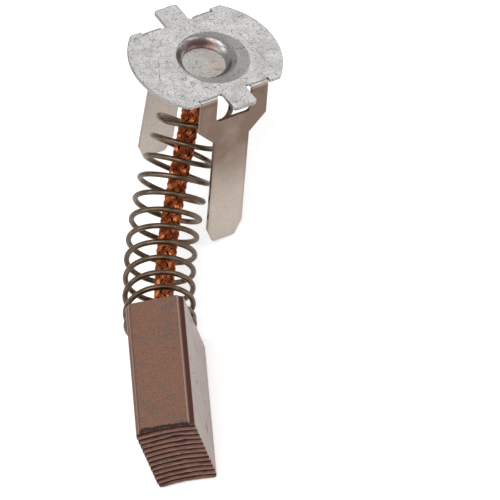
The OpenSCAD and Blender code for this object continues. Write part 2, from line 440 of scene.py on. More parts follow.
@dataclass(frozen=True)
class CopperGraphite:
    """Pressed copper and graphite: fine grained, satin, rubbed on its crests and broken at one edge."""

    name: str = "copper_graphite_pressed"
    body: Colour = (0.272, 0.14, 0.093)
    warm: Colour = (0.36, 0.155, 0.085)
    cool: Colour = (0.18, 0.135, 0.115)
    # Dark specks, and painted shade in the furrows, on the right chamfer and down the tail's hole.
    groove: Colour = (0.06, 0.012, 0.008)
    rubbed: Colour = (0.35, 0.145, 0.08)
    dusty: Colour = (0.12, 0.075, 0.058)
    # Light line on the upper right-hand edge: worn edge and painted highlight.
    edge: Colour = (0.44, 0.3, 0.24)
    broken: Colour = (0.035, 0.018, 0.013)
    clouds: Mottle = Mottle(0.45, 4)
    cool_clouds: Pair = (0.33, 0.5)
    grain: Mottle = Mottle(2.1, 3, 0.65)
    grain_stretch: float = 3.2
    grain_depth: float = 0.02
    warm_grain: Fade = Fade(0.5, 0.62, 0, 0.65)
    cool_grain: Fade = Fade(0.5, 0.38, 0, 0.6)
    specks: Mottle = Mottle(9, 2)
    speck_depth: float = 0.014
    dark_specks: Fade = Fade(0.34, 0.56, 0.4, 0)
    edge_specks: Fade = Fade(0.4, 0.55, 0.45)
    dusty_specks: Fade = Fade(0.5, 0.7, 0, 0.5)
    rubs: Mottle = Mottle(1.1)
    rubbed_through: Fade = Fade(0.4, 0.62)
    in_groove: Fade = Fade(0.5, 0.1)
    on_crest: Fade = Fade(0.55, 0.95)
    metallic: float = 0.3
    roughness: Fade = Fade(0.3, 0.7, 0.17, 0.27)
    groove_roughness: Fade = Fade(0.4, 0.1, 0, 0.9)
    broken_roughness: float = 0.8
    nicks: tuple[Nick, ...] = (
        Nick((-4.23, 4.62), (-5.24, 4.24), 0.55),
        Nick((-0.1, 7.99), (-0.99, 8.08), 0.42),
        Nick((-0.48, 10.16), (-0.43, 9.63), 0.3),
        Nick((1.1, 11.16), (0.86, 10.22), 0.25),
    )
    nick_share: float = 0.85
    side_x: float = 3.5
    top_z: float = 12.5
    edge_x: float = 2.84
    edge_width: float = 0.15
    edge_reach: float = 15

    def crossed_grain(self, shade: Shade, where: Socket) -> Socket:
        """Grain drawn out in two directions that cross.

        Args:
            shade: the material's nodes.
            where: coordinates in millimetres.

        Returns:
            Values round 0.5.
        """
        much = self.grain_stretch
        weft = shade.noise(shade.stretch(where, (1, much, 1)), self.grain)
        warp = shade.noise(shade.stretch(where, (much, 1, much)), self.grain)
        return shade.math("MULTIPLY", shade.math("ADD", weft, warp), 0.5)

    def worn_and_highlit_edge(self, shade: Shade, where: Socket, speck: Socket) -> Socket:
        """The light line along the upper right-hand edge: a worn edge with a painted highlight.

        Args:
            shade: the material's nodes.
            where: coordinates in millimetres.
            speck: fine noise that breaks the line up.

        Returns:
            Its share.
        """
        ends = [np.array([self.edge_x, y, self.top_z]) for y in (-self.edge_reach, self.edge_reach)]
        line = shade.stroke(where, *ends, np.array([0, 0, 1.0]), self.edge_width)
        return shade.math("MULTIPLY", line, shade.span(speck, self.edge_specks))

    def material(self) -> bpy.types.Material:
        """Builds the material.

        Returns:
            A material that reads the mesh's layers: wear, from painted shade near 0 in the furrows,
            on the right chamfer and down the hole, over plain faces at 0.5 and a painted reflection on
            the left chamfer to rubbed crests at 1; and broken, the share of dark broken grain.
        """
        shade = Shade(self.name)
        where = shade.place()
        cloud = shade.noise(where, self.clouds)
        grain = self.crossed_grain(shade, where)
        speck = shade.noise(where, self.specks)
        wear = shade.layer("wear")
        rub = shade.span(shade.noise(where, self.rubs), self.rubbed_through)
        crest = shade.mix(rub, self.dusty, self.rubbed)
        tone = shade.ramp(cloud, list(zip(self.cool_clouds, (self.cool, self.body))))
        for value, fade, colour in (
            (grain, self.warm_grain, self.warm),
            (grain, self.cool_grain, self.cool),
            (speck, self.dark_specks, self.groove),
            # Low wear gives the groove colour: painted shade in the furrows, the right chamfer and the
            # hole.
            (wear, self.in_groove, self.groove),
            (wear, self.on_crest, crest),
        ):
            tone = shade.mix(shade.span(value, fade), tone, colour)
        # Worn edge with a painted highlight along the upper right-hand edge.
        tone = shade.mix(self.worn_and_highlit_edge(shade, where, speck), tone, self.edge)
        broken = shade.layer("broken")
        rubble = shade.mix(shade.span(speck, self.dusty_specks), self.broken, self.dusty)
        tone = shade.mix(broken, tone, rubble)
        for nick in self.nicks:
            ends = [np.array([self.side_x, *place]) for place in (nick.start, nick.end)]
            mark = shade.stroke(where, *ends, np.array([1.0, 0, 0]), nick.width)
            tone = shade.mix(shade.math("MULTIPLY", mark, self.nick_share), tone, self.broken)
            broken = shade.math("MAXIMUM", broken, mark)
        normal = shade.bump(speck, self.speck_depth, shade.bump(grain, self.grain_depth))
        rough = shade.span(cloud, self.roughness)
        rough = shade.math("MAXIMUM", rough, shade.math("MULTIPLY", broken, self.broken_roughness))
        rough = shade.math("MAXIMUM", rough, shade.span(wear, self.groove_roughness))
        return shade.finish(Base_Color=tone, Roughness=rough, Metallic=self.metallic, Normal=normal)


@dataclass(frozen=True)
class TampedPowder:
    """Copper powder tamped round the shunt: matte and granular."""

    name: str = "tamped_powder"
    dark: Colour = (0.03, 0.014, 0.01)
    light: Colour = (0.2, 0.09, 0.06)
    grains: Mottle = Mottle(6, 3, 0.7)
    dark_light: Pair = (0.35, 0.7)
    depth: float = 0.06
    roughness: float = 0.85

    def material(self) -> bpy.types.Material:
        """Builds the material.

        Returns:
            A material that reads no layer of the mesh.
        """
        shade = Shade(self.name)
        grains = shade.noise(shade.place(), self.grains)
        tone = shade.ramp(grains, list(zip(self.dark_light, (self.dark, self.light))))
        normal = shade.bump(grains, self.depth)
        return shade.finish(Base_Color=tone, Roughness=self.roughness, Normal=normal)


@dataclass(frozen=True)
class DrawnSteel:
    """Dark drawn spring wire with die streaks along it and slanting coiling marks."""

    name: str = "drawn_spring_wire"
    dark: Colour = (0.047, 0.024, 0.013)
    light: Colour = (0.283, 0.207, 0.145)
    dark_light: Pair = (0.36, 0.64)
    streaks: Mottle = Mottle(1)
    streak_stretch: Triple = (0.5, 7, 1)
    slants: Mottle = Mottle(1, 3, 0.7)
    slant_stretch: Triple = (0.7, 5, 1)
    slant_turn: float = 32
    slant_share: float = 0.7
    blotches: Mottle = Mottle(0.8)
    blotched: Fade = Fade(0.35, 0.75, 0, 0.5)
    depth: float = 0.02
    roughness: Fade = Fade(0.35, 0.65, 0.28, 0.42)

    def material(self) -> bpy.types.Material:
        """Builds the material.

        Returns:
            A material that reads the mesh's UV map, which runs along the wire and round it.
        """
        shade = Shade(self.name)
        wire = shade.sheet("along")
        streak = shade.noise(shade.stretch(wire, self.streak_stretch), self.streaks)
        slanting = shade.stretch(wire, self.slant_stretch, self.slant_turn)
        slant = shade.math("MULTIPLY", shade.noise(slanting, self.slants), self.slant_share)
        marks = shade.math("ADD", shade.math("MULTIPLY", streak, 1 - self.slant_share), slant)
        blotch = shade.noise(shade.place(), self.blotches)
        tone = shade.ramp(marks, list(zip(self.dark_light, (self.dark, self.light))))
        tone = shade.mix(shade.span(blotch, self.blotched), tone, self.dark)
        rough = shade.span(marks, self.roughness)
        normal = shade.bump(marks, self.depth)
        return shade.finish(Base_Color=tone, Roughness=rough, Metallic=1.0, Normal=normal)


@dataclass(frozen=True)
class CopperWire:
    """Fine copper wires: bright on the crests, brown in patches, and painted shade in the hollows."""

    name: str = "copper_braid_wire"
    bright: Colour = (0.74, 0.25, 0.095)
    brown: Colour = (0.27, 0.056, 0.017)
    # Painted shade where a wire dips under another, and on the core.
    hollow_shade: Colour = (0.07, 0.013, 0.005)
    patches: Mottle = Mottle(1.1)
    bright_patches: Fade = Fade(0.35, 0.65, 0.25)
    off_hollow: Fade = Fade(0, 0.55)
    fine: Mottle = Mottle(14, 2, 0.5)
    fine_depth: float = 0.008
    roughness: Fade = Fade(0.3, 0.7, 0.4, 0.26)

    def material(self) -> bpy.types.Material:
        """Builds the material.

        Returns:
            A material that reads the mesh's layers: wear, 1 on the crests of the weave and 0 where
            a wire dips under, which takes painted shade; and tone, a shade of its own for each wire.
        """
        shade = Shade(self.name)
        where = shade.place()
        patch = shade.noise(where, self.patches)
        share = shade.math("MULTIPLY", shade.span(patch, self.bright_patches), shade.layer("tone"))
        tone = shade.mix(share, self.brown, self.bright)
        # Painted shade in the hollows of the weave.
        tone = shade.mix(shade.span(shade.layer("wear"), self.off_hollow), self.hollow_shade, tone)
        rough = shade.span(patch, self.roughness)
        normal = shade.bump(shade.noise(where, self.fine), self.fine_depth)
        return shade.finish(Base_Color=tone, Roughness=rough, Metallic=1.0, Normal=normal)


@dataclass(frozen=True)
class TinnedSheet:
    """Tinned steel sheet: pale grey with fine dark cracks and pits, tarnished on the legs, with painted
    shade and reflections on the near leg and in the pocket.
    """

    name: str = "tinned_sheet"
    tin: Colour = (0.455, 0.45, 0.44)
    cloud: Colour = (0.39, 0.385, 0.375)
    pit: Colour = (0.07, 0.06, 0.055)
    # Tarnish colour, also painted shade and reflection on the near leg's upper part.
    tarnish_and_painted_light: Colour = (0.2, 0.133, 0.102)
    # Light warm stain, also the painted reflection on the pocket floor.
    stain_and_reflection: Colour = (0.52, 0.45, 0.39)
    # Red brown of the pocket's wall, also its painted shade and the painted reflection below the near
    # leg's bend.
    brown: Colour = (0.13, 0.06, 0.047)
    shear: Colour = (0.2, 0.13, 0.1)
    clouds: Mottle = Mottle(0.55, 4)
    clouded: Fade = Fade(0.35, 0.65)
    coarse: CrackNet = CrackNet(1.1, 0.05)
    fine: CrackNet = CrackNet(2.3, 0.09)
    patches: Mottle = Mottle(1.7)
    coarse_patches: Fade = Fade(0.48, 0.56)
    fine_patches: Fade = Fade(0.52, 0.43, 0, 0.6)
    pits: Mottle = Mottle(6, 2, 0.7)
    pitted: Fade = Fade(0.6, 0.68, 0, 0.5)
    marked: Fade = Fade(0.05, 0.3, 0.9, 0.22)
    stain_and_reflection_share: Fade = Fade(0, 0.3)
    tarnish_and_shade_share: Fade = Fade(0.3, 1)
    scratch: tuple[Pair, ...] = ((5.62, 1.95), (5.98, -1.0), (6.05, -4.1))
    scratch_width: float = 0.13
    scratch_share: float = 0.55
    waves: Mottle = Mottle(2.2, 3, 0.5)
    drawn: Mottle = Mottle(1)
    drawn_stretch: Triple = (3, 0.25, 1)
    wave_depth: float = 0.006
    crack_depth: float = 0.004
    metallic: float = 0.95
    roughness: Fade = Fade(0.3, 0.7, 0.22, 0.32)

    def marks(self, shade: Shade, where: Socket) -> Socket:
        """Coarse cracks in some patches, fine ones in others, and pits.

        Args:
            shade: the material's nodes.
            where: coordinates in millimetres.

        Returns:
            Their share.
        """
        patch = shade.noise(where, self.patches)
        marks = shade.span(shade.noise(where, self.pits), self.pitted)
        for net, fade in ((self.coarse, self.coarse_patches), (self.fine, self.fine_patches)):
            cracks = shade.math("MULTIPLY", shade.cracks(where, net), shade.span(patch, fade))
            marks = shade.math("MAXIMUM", marks, cracks)
        return marks

    def material(self, rest: "RestPose") -> bpy.types.Material:
        """Builds the material.

        Args:
            rest: where the cap stands, for the scratch on its disc.

        Returns:
            A material that reads the mesh's layers: tarnish, a warm grey, carrying painted shade and
            reflection on the near leg and a painted reflection on the pocket's floor; browned, the red
            brown of the pocket's wall, carrying painted shade and reflection in a crescent on its far
            side and a painted reflection below the near leg's bend; dull, a plain darkening; and shear,
            the cut edge.
        """
        shade = Shade(self.name)
        where = shade.place()
        cloud = shade.noise(where, self.clouds)
        tarnish_and_painted_light = shade.layer("tarnish_and_painted_light")
        marks = self.marks(shade, where)
        marks = shade.math("MULTIPLY", marks, shade.span(tarnish_and_painted_light, self.marked))
        tone = shade.mix(shade.span(cloud, self.clouded), self.tin, self.cloud)
        # The tarnish layer also carries painted shade and reflection on the near leg and a painted
        # reflection on the pocket floor.
        tone = shade.mix(shade.span(tarnish_and_painted_light, self.stain_and_reflection_share), tone, self.stain_and_reflection)
        tone = shade.mix(shade.span(tarnish_and_painted_light, self.tarnish_and_shade_share), tone, self.tarnish_and_painted_light)
        tone = shade.mix(marks, tone, self.pit)
        for layer, colour in (("dull", self.pit), ("browned_and_painted_shade", self.brown), ("shear", self.shear)):
            tone = shade.mix(shade.layer(layer), tone, colour)
        normal = rest.axes()[2]
        for places in zip(self.scratch, self.scratch[1:]):
            ends = [rest.place(np.array([*place, 0.0])) for place in places]
            mark = shade.stroke(where, *ends, normal, self.scratch_width)
            tone = shade.mix(shade.math("MULTIPLY", mark, self.scratch_share), tone, self.pit)
        drawn = shade.noise(shade.stretch(shade.sheet("flat"), self.drawn_stretch), self.drawn)
        bumped = shade.bump(shade.noise(where, self.waves), self.wave_depth)
        bumped = shade.bump(drawn, self.wave_depth, bumped)
        bumped = shade.bump(shade.math("SUBTRACT", 1.0, marks), self.crack_depth, bumped)
        rough = shade.span(cloud, self.roughness)
        return shade.finish(Base_Color=tone, Roughness=rough, Metallic=self.metallic, Normal=bumped)


# Meshes


def make_piece(
    name: str,
    points: Points,
    faces: Sequence[Sequence[int]],
    crease: float,
    **layers: Points,
) -> bpy.types.Object:
    """Writes a mesh object.

    Args:
        name: the piece's name.
        points: vertices in millimetres.
        faces: vertex numbers of each face, outward side counter-clockwise.
        crease: faces that meet at more than this many degrees keep a sharp edge.
        **layers: a value for each vertex that the finish reads, by the layer's name.

    Returns:
        The object, linked to the scene.
    """
    mesh = bpy.data.meshes.new(name)
    corners = [list(map(int, face)) for face in faces]
    mesh.from_pydata((np.asarray(points) * MM).tolist(), [], corners)
    mesh.shade_smooth()
    mesh.set_sharp_from_angle(angle=math.radians(crease))
    for key, values in layers.items():
        layer = mesh.attributes.new(key, "FLOAT", "POINT")
        layer.data.foreach_set("value", np.asarray(values, np.float32))
    piece = bpy.data.objects.new(name, mesh)
    bpy.context.scene.collection.objects.link(piece)
    return piece


def write_uv(mesh: bpy.types.Mesh, name: str, places: Points) -> None:
    """Writes a UV map.

    Args:
        mesh: the mesh.
        name: the map's name.
        places: a place for each vertex.
    """
    layer = mesh.uv_layers.new(name=name)
    vertices = np.zeros(len(mesh.loops), np.int32)
    mesh.loops.foreach_get("vertex_index", vertices)
    layer.data.foreach_set("uv", np.asarray(places, np.float32)[vertices].ravel())


def ring_faces(rings: int, sides: int, first: int = 0) -> list[tuple[int, ...]]:
    """Joins closed rings of vertices.

    Args:
        rings: number of rings.
        sides: vertices in a ring.
        first: number of the first vertex.

    Returns:
        Quads between each ring and the next.
    """
    faces = []
    for ring in range(rings - 1):
        for side in range(sides):
            a = first + ring * sides + side
            b = first + ring * sides + (side + 1) % sides
            faces.append((a, b, b + sides, a + sides))
    return faces


def tube_faces(rings: int, sides: int, first: int = 0) -> list[tuple[int, ...]]:
    """Joins the rings of a tube and closes its ends.

    Args:
        rings: number of rings.
        sides: vertices in a ring.
        first: number of the first vertex.

    Returns:
        Quads between the rings, and a flat face over each end.
    """
    last = first + (rings - 1) * sides
    start = tuple(first + side for side in reversed(range(sides)))
    end = tuple(last + side for side in range(sides))
    return [*ring_faces(rings, sides, first), start, end]


def tube(centre: Points, u: Points, v: Points, radius: Points | float, sides: int) -> Points:
    """Rings of vertices round a line.

    Args:
        centre: points of the line.
        u: a direction square to the line at each point.
        v: the direction square to both.
        radius: the tube's radius, one for all points or one for each.
        sides: vertices in a ring.

    Returns:
        The vertices, ring after ring.
    """
    a = 2 * math.pi * np.arange(sides) / sides
    ring = np.cos(a)[None, :, None] * u[:, None] + np.sin(a)[None, :, None] * v[:, None]
    reach = np.broadcast_to(radius, len(centre))[:, None, None]
    return (centre[:, None] + reach * ring).reshape(-1, 3)


def wire_tube(path: Points, out: Points, radius: Points | float, sides: int) -> Points:
    """Rings of vertices round a wire, square to its path.

    Args:
        path: points of the wire's centre.
        out: direction of the first vertex of each ring, made square to the path here.
        radius: the wire's radius, one for all points or one for each.
        sides: vertices in a ring.

    Returns:
        The vertices, ring after ring.
    """
    heading = unit(np.gradient(path, axis=0))
    out = unit(out - np.sum(out * heading, axis=1, keepdims=True) * heading)
    return tube(path, out, np.cross(heading, out), radius, sides)


def run_along(points: Points) -> Points:
    """Returns the running length of a path at each of its points."""
    return np.concatenate([[0], np.cumsum(np.linalg.norm(np.diff(points, axis=0), axis=1))])


def moved_left(loop: Points, distance: Points | float) -> Points:
    """Moves each point of a closed loop to the left of its way round.

    Args:
        loop: the loop's points in the plane.
        distance: how far, one for all points or one for each.

    Returns:
        The moved points.
    """
    ahead = np.roll(loop, -1, axis=0) - np.roll(loop, 1, axis=0)
    left = unit(np.column_stack([-ahead[:, 1], ahead[:, 0]]))
    return loop + left * np.broadcast_to(distance, len(loop))[:, None]


def settle(piece: bpy.types.Object, material: bpy.types.Material, node: str) -> None:
    """Gives a piece its finish and hides the frame's node that it takes the place of.

    Args:
        piece: the piece.
        material: its finish.
        node: the frame's node that it takes the place of.
    """
    piece.data.materials.append(material)
    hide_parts(node)


@dataclass(frozen=True)
class RestPose:
    """Where the cap stands beside the block, as the frame has it."""

    tail_y: float = 9
    reach: float = 26.45
    shift: float = 10.3
    turn: float = 28
    lean: float = 22.5
    leg_l: float = 22.2
    tip_x: float = 1.3
    tip_r: float = 0.35

    def axes(self) -> Points:
        """The cap's own directions.

        Returns:
            Rows along its chords, across them, and along its outward normal.
        """
        turn, lean = math.radians(self.turn), math.radians(self.lean)
        level = np.array([math.cos(turn) * math.cos(lean), math.sin(turn) * math.cos(lean)])
        along = np.array([*level, -math.sin(lean)])
        across = np.array([-math.sin(turn), math.cos(turn), 0])
        return np.array([along, across, np.cross(along, across)])

    def centre(self) -> Points:
        """Finds the cap's place.

        Returns:
            Centre of the disc's outer face.
        """
        lean = math.radians(self.lean)
        height = math.sin(lean) * self.tip_x + math.cos(lean) * (self.leg_l - self.tip_r)
        return np.array([self.shift, self.tail_y + self.reach, height + self.tip_r])

    def place(self, points: Points) -> Points:
        """Takes points from the cap's own frame to the frame of the part."""
        return self.centre() + np.asarray(points) @ self.axes()


@dataclass(frozen=True)
class Route:
    """How a line leaves the tail and meets the cap."""

    start: Triple
    seat: Triple
    lead_in: float
    lead_out: float
    tail_pull: float
    cap_pull: float
    dip: float
    middle: tuple[Triple, ...] = ()


class CurvedLine:
    """A line with straight ends and a smooth curve between them, measured by its running length.

    STEPS is the number of chords of the curve, and HALF the millimetres to each side over which
    a heading is taken.
    """

    STEPS = 120
    HALF = 0.5

    def __init__(self, route: Route, rest: RestPose) -> None:
        """Lays the line from the block's tail along Y to the cap, which it meets squarely.

        Args:
            route: how the line leaves the tail and meets the cap.
            rest: where the cap stands.
        """
        normal = rest.axes()[2]
        start = np.array(route.start)
        end = rest.place(route.seat)
        dip = math.radians(route.dip)
        forward = np.array([0, math.cos(dip), -math.sin(dip)])
        a = start + route.lead_in * np.array([0.0, 1.0, 0.0])
        b = end - route.lead_out * normal
        pulled = (a + route.tail_pull * forward, b - route.cap_pull * normal)
        controls = np.array([a, pulled[0], *route.middle, pulled[1], b])
        last = len(controls) - 1
        t = np.linspace(0, 1, self.STEPS + 1)[:, None]
        weights = [math.comb(last, k) * (1 - t) ** (last - k) * t**k for k in range(last + 1)]
        self.points = np.vstack([start, np.hstack(weights) @ controls, end])
        self.run = run_along(self.points)
        self.total = float(self.run[-1])
        self.side = unit(np.array([normal[2], 0, -normal[0]]))

    def at(self, s: Points) -> Points:
        """Finds places on the line.

        Args:
            s: running lengths; the line goes straight back along Y for lengths below zero.

        Returns:
            The points.
        """
        points = np.stack([np.interp(s, self.run, self.points[:, k]) for k in range(3)], -1)
        points[..., 1] += np.minimum(s, 0)
        return points

    def across(self, s: Points) -> tuple[Points, Points]:
        """Finds the directions square to the line.

        Args:
            s: running lengths.

        Returns:
            Two directions square to the heading and to each other, at each length.
        """
        ahead = self.at(np.clip(s + self.HALF, 0, self.total))
        heading = unit(ahead - self.at(np.minimum(s - self.HALF, self.total - self.HALF)))
        u = unit(self.side - (heading @ self.side)[..., None] * heading)
        return u, np.cross(heading, u)


@dataclass(frozen=True)
class Ring:
    """A ring of vertices round a line along Y, by its x and z, with what its finish reads."""

    section: Points
    y: Points | float
    wear: Points | float = 0.0
    broken: Points | float = 0.0

    def points(self) -> Points:
        """Returns the ring's vertices."""
        x, z = self.section.T
        return np.column_stack([x, np.broadcast_to(self.y, len(x)), z])


@dataclass
class CarbonBlock:
    """Chamfered block with a formed and ridged contact face and the shunt's hole in its tail."""

    width: float = 7
    depth: float = 12.5
    length: float = 18
    chamfer: float = 0.6
    corner: float = 0.14
    commutator_r: float = 20
    ridge_pitch: float = 0.99
    ridge_start: float = 0.4
    ridge_h: float = 0.25
    furrow: Fade = Fade(0.07, 0.38)
    ridge_wander: tuple[Grain, ...] = (
        Grain((0.35, 1, 0.5), 21, size=0.075),
        Grain((1.4, 1, 1.1), 5, size=0.03),
    )
    ridge_grain: Grain = Grain((0.6, 1, 1), 2, size=0.25)
    face_grain: Grain = Grain(3, 9, 4, 0.02)
    wear_grain: Grain = Grain(5, 4, size=0.06)
    rubbed_grain: Grain = Grain((0.8, 1, 1.6), 14, 3)
    rubbed: Fade = Fade(-0.5, 0.3, 0.42, 0.96)
    gouges: tuple[Spot, ...] = (
        Spot((0.95, 10.1), (0.75, 0.42)),
        Spot((1.6, 9.2), (0.35, 0.3), 0.8),
    )
    gouge_grain: Grain = Grain(2.5, 61, 3, 0.5)
    gouge_depth: float = 0.2
    bevel_w: float = 0.06
    bevel_grain: Grain = Grain(1.6, 3, 3, 0.04)
    bevel_lumps: tuple[Spot, ...] = (Spot((-2.3,), 0.7, 0.32), Spot((2.5,), 0.6, 0.12))
    bevel_chips: Grain = Grain((2.6, 1, 1), 8, 4, 0.2)
    bevel_reach: float = 0.9
    break_depth: float = 0.1
    break_grain: Grain = Grain(2.2, 31, 3, 0.28)
    break_bite: tuple[Spot, ...] = (Spot((-2.3,), 0.8, 0.1),)
    rubble: Grain = Grain(4, 17, 3, 0.12)
    fade_w: float = 0.06
    fade_grain: Grain = Grain(2, 50, 3, 0.1)
    plain_wear: float = 0.5
    # Painted shade darkens the right upper chamfer, and a painted reflection lightens the left one.
    left_chamfer_wear: float = 0.1
    right_chamfer_wear: float = -0.36
    # Darker lines along the left chamfer's upper edge and the right chamfer's lower edge.
    left_line_wear: float = -0.3
    right_line_wear: float = -0.14
    hole_r: float = 1.85
    hole_depth: float = 6
    mouth: float = 0.3
    columns: int = 50
    rows: int = 170
    body_rings: int = 46
    tail_steps: int = 16
    finish: CopperGraphite = field(default_factory=CopperGraphite)

    def rounding(self, into: Points) -> Points:
        """Returns how far an edge gives way, softly from 0 before it to the distance past it."""
        return 0.5 * (into + np.sqrt(into**2 + self.corner**2))

    def half_width(self, z: Points) -> Points:
        """Returns half the block's width at a height, with softened corners at the chamfers."""
        low, high = self.chamfer - z, z - (self.depth - self.chamfer)
        return self.width / 2 - (self.rounding(low) + self.rounding(high))

    def top_share(self, z: Points) -> Points:
        """Returns 1 on the upper edge and 0 below it."""
        return smooth_step(self.depth - 0.5, self.depth - 0.1, z)

    def section(self) -> Points:
        """Lays a grid over the block's section.

        Returns:
            Its x and z, in rows from the lower face up.
        """
        z = np.linspace(0, self.depth, self.rows + 1)
        share = np.linspace(-1, 1, self.columns + 1)
        x = share[None, :] * self.half_width(z)[:, None]
        z = np.repeat(z[:, None], self.columns + 1, axis=1)
        lift = self.rounding(np.abs(x) - (self.width / 2 - self.chamfer))
        z = z + lift * (smooth_step(0.5, 0, z) - smooth_step(self.depth - 0.5, self.depth, z))
        return np.stack([x, z], -1)

    def border(self) -> Points:
        """Finds the grid's border.

        Returns:
            Its vertex numbers, once round.
        """
        rows, columns = self.rows + 1, self.columns + 1
        number = np.arange(rows * columns).reshape(rows, columns)
        return np.concatenate([number[0, :-1], number[:-1, -1], number[-1, :0:-1], number[:0:-1, 0]])

    def bevel(self, x: Points, z: Points) -> Points:
        """Sizes the worn or broken edge round the contact face.

        Args:
            x: places of the edge across the block.
            z: places of the edge up the block.

        Returns:
            Its width at each place.
        """
        places = upright(x, z)
        width = self.bevel_w + self.bevel_grain.at(places)
        lumps = spotted(x[:, None], self.bevel_lumps)
        ragged = np.abs(self.bevel_chips.at(places))
        return np.clip(width + self.top_share(z) * (lumps + ragged - 0.02), 0.03, 0.6)

    def ridge_phase(self, x: Points, z: Points) -> Points:
        """Measures how far places are from a ridge.

        Args:
            x: places across the face.
            z: places up the face.

        Returns:
            Distance from the nearest crest in pitches, 0 on it and 0.5 in the furrow.
        """
        wander = sum(grain.at(upright(x, z)) for grain in self.ridge_wander)
        phase = (z + wander - self.ridge_start) / self.ridge_pitch
        return np.abs(phase - np.round(phase))

    def gouge(self, x: Points, z: Points) -> Points:
        """Finds the chipped place on the contact face, below its upper edge.

        Args:
            x: places across the face.
            z: places up the face.

        Returns:
            Its share at each place.
        """
        places = np.stack([x, z], -1)
        return (1 + self.gouge_grain.at(places)) * spotted(places, self.gouges)

    def contact(self, x: Points, z: Points) -> tuple[Points, Points]:
        """Forms the contact face.

        Args:
            x: places across the face.
            z: places up the face.

        Returns:
            The y of the face at each place, and its wear from 0 in the furrows, where the finish
            paints shade, to 1 on the crests.
        """
        places = upright(x, z)
        axis_y = -self.length / 2 - math.sqrt(self.commutator_r**2 - (self.width / 2) ** 2)
        furrow = self.furrow.of(self.ridge_phase(x, z))
        gouge = self.gouge(x, z)
        y = axis_y + np.sqrt(self.commutator_r**2 - x**2)
        y += self.ridge_h * furrow * (1 + self.ridge_grain.at(places))
        y += self.gouge_depth * gouge * (1 - furrow) + self.face_grain.at(places)
        rubbed = self.rubbed.of(self.rubbed_grain.at(places))
        # Wear is low in the furrows, where the groove colour paints their shade.
        wear = (1 - furrow) * (1 - 0.8 * np.clip(gouge, 0, 1)) * rubbed
        return y, np.clip(wear + self.wear_grain.at(places), 0, 1)

    def build(self) -> bpy.types.Object:
        """Joins the contact face, the four sides, the tail face and the hole in one mesh.

        Returns:
            The block.
        """
        grid = self.section().reshape(-1, 2)
        border = self.border()
        outline = grid[border]
        sides = len(border)
        bevel = self.bevel(*outline.T)
        face, wear, broken = self.face_grid(grid, outline, bevel)
        rings = self.side_rings(face[border, 1], outline, bevel) + self.tail_rings(outline)
        first = len(grid)
        last = first + (len(rings) - 1) * sides
        faces = self.grid_faces()
        for k in range(sides):
            ahead = (k + 1) % sides
            faces.append((border[ahead], border[k], first + k, first + ahead))
        faces += [quad[::-1] for quad in ring_faces(len(rings), sides, first)]
        faces.append(tuple(last + k for k in range(sides)))
        wears = [np.broadcast_to(ring.wear, sides) for ring in rings]
        brokens = [np.broadcast_to(ring.broken, sides) for ring in rings]
        return make_piece(
            "carbon_block_body",
            np.vstack([face, *(ring.points() for ring in rings)]),
            faces,
            crease=48,
            wear=np.concatenate([wear, *wears]),
            broken=np.concatenate([broken, *brokens]),
        )

    def grid_faces(self) -> list[tuple[int, ...]]:
        """Joins the grid of the contact face.

        Returns:
            Quads, counter-clockwise as the commutator sees them.
        """
        faces = []
        for row in range(self.rows):
            for column in range(self.columns):
                a = row * (self.columns + 1) + column
                faces.append((a, a + 1, a + self.columns + 2, a + self.columns + 1))
        return faces

    def face_grid(
        self, grid: Points, outline: Points, bevel: Points
    ) -> tuple[Points, Points, Points]:
        """Draws the grid in from the worn edge and raises the ridges on it.

        Args:
            grid: x and z of the section's grid.
            outline: x and z of its border.
            bevel: width of the worn edge at each point of the border.

        Returns:
            Points of the contact face, their wear, low in the furrows where it paints shade, and
            their share of broken grain.
        """
        reach = self.bevel_reach
        shift = np.zeros_like(grid)
        shrunk = moved_left(outline, bevel) - outline
        near_top = grid[:, 1] > self.depth - reach
        near_side = np.abs(grid[:, 0]) > self.width / 2 - self.chamfer - reach
        near_low = grid[:, 1] < reach
        for i in np.flatnonzero(near_top | near_side | near_low):
            away = np.linalg.norm(outline - grid[i], axis=1)
            nearest = int(np.argmin(away))
            shift[i] = shrunk[nearest] * (1 - smooth_step(0, reach, away[nearest]))
        shift[self.border()] = shrunk
        x, z = (grid + shift).T
        y, wear = self.contact(x, z)
        places = upright(x, z)
        edge = np.abs(self.break_grain.at(places)) + spotted(x[:, None], self.break_bite)
        top = smooth_step(self.depth - 0.4 - edge, self.depth - 0.15 - edge, z)
        y += top * (self.break_depth + self.rubble.at(places))
        gouge = np.clip(1.2 * self.gouge(x, z) - 0.25, 0, 0.8)
        return np.column_stack([x, y, z]), wear * (1 - top), np.maximum(0.8 * top, gouge)

    def side_wear(self, x: Points, z: Points) -> Points:
        """Wear of the four sides, with painted light on the upper chamfers, even along the block.

        Args:
            x: places of the outline across the block.
            z: places of the outline up the block.

        Returns:
            Plain wear on the faces, less in the lines beside the chamfers, painted shade on the
            right chamfer and a painted reflection on the left one.
        """
        flat = self.width / 2 - self.chamfer
        on_chamfer = smooth_step(flat + 0.02, flat + 0.12, np.abs(x))
        on_chamfer *= smooth_step(-0.66, -0.56, z - self.depth)
        left_line = bell(x, -flat - 0.03, 0.12) * (self.depth - z < 0.35)
        right_line = bell(z, self.depth - self.chamfer - 0.05, 0.09) * (x > flat + 0.4)
        # Painted shade on the right chamfer, painted reflection on the left one.
        chamfers = np.where(x > 0, self.right_chamfer_wear, self.left_chamfer_wear)
        lines = self.left_line_wear * left_line + self.right_line_wear * right_line
        return self.plain_wear + lines + on_chamfer * chamfers

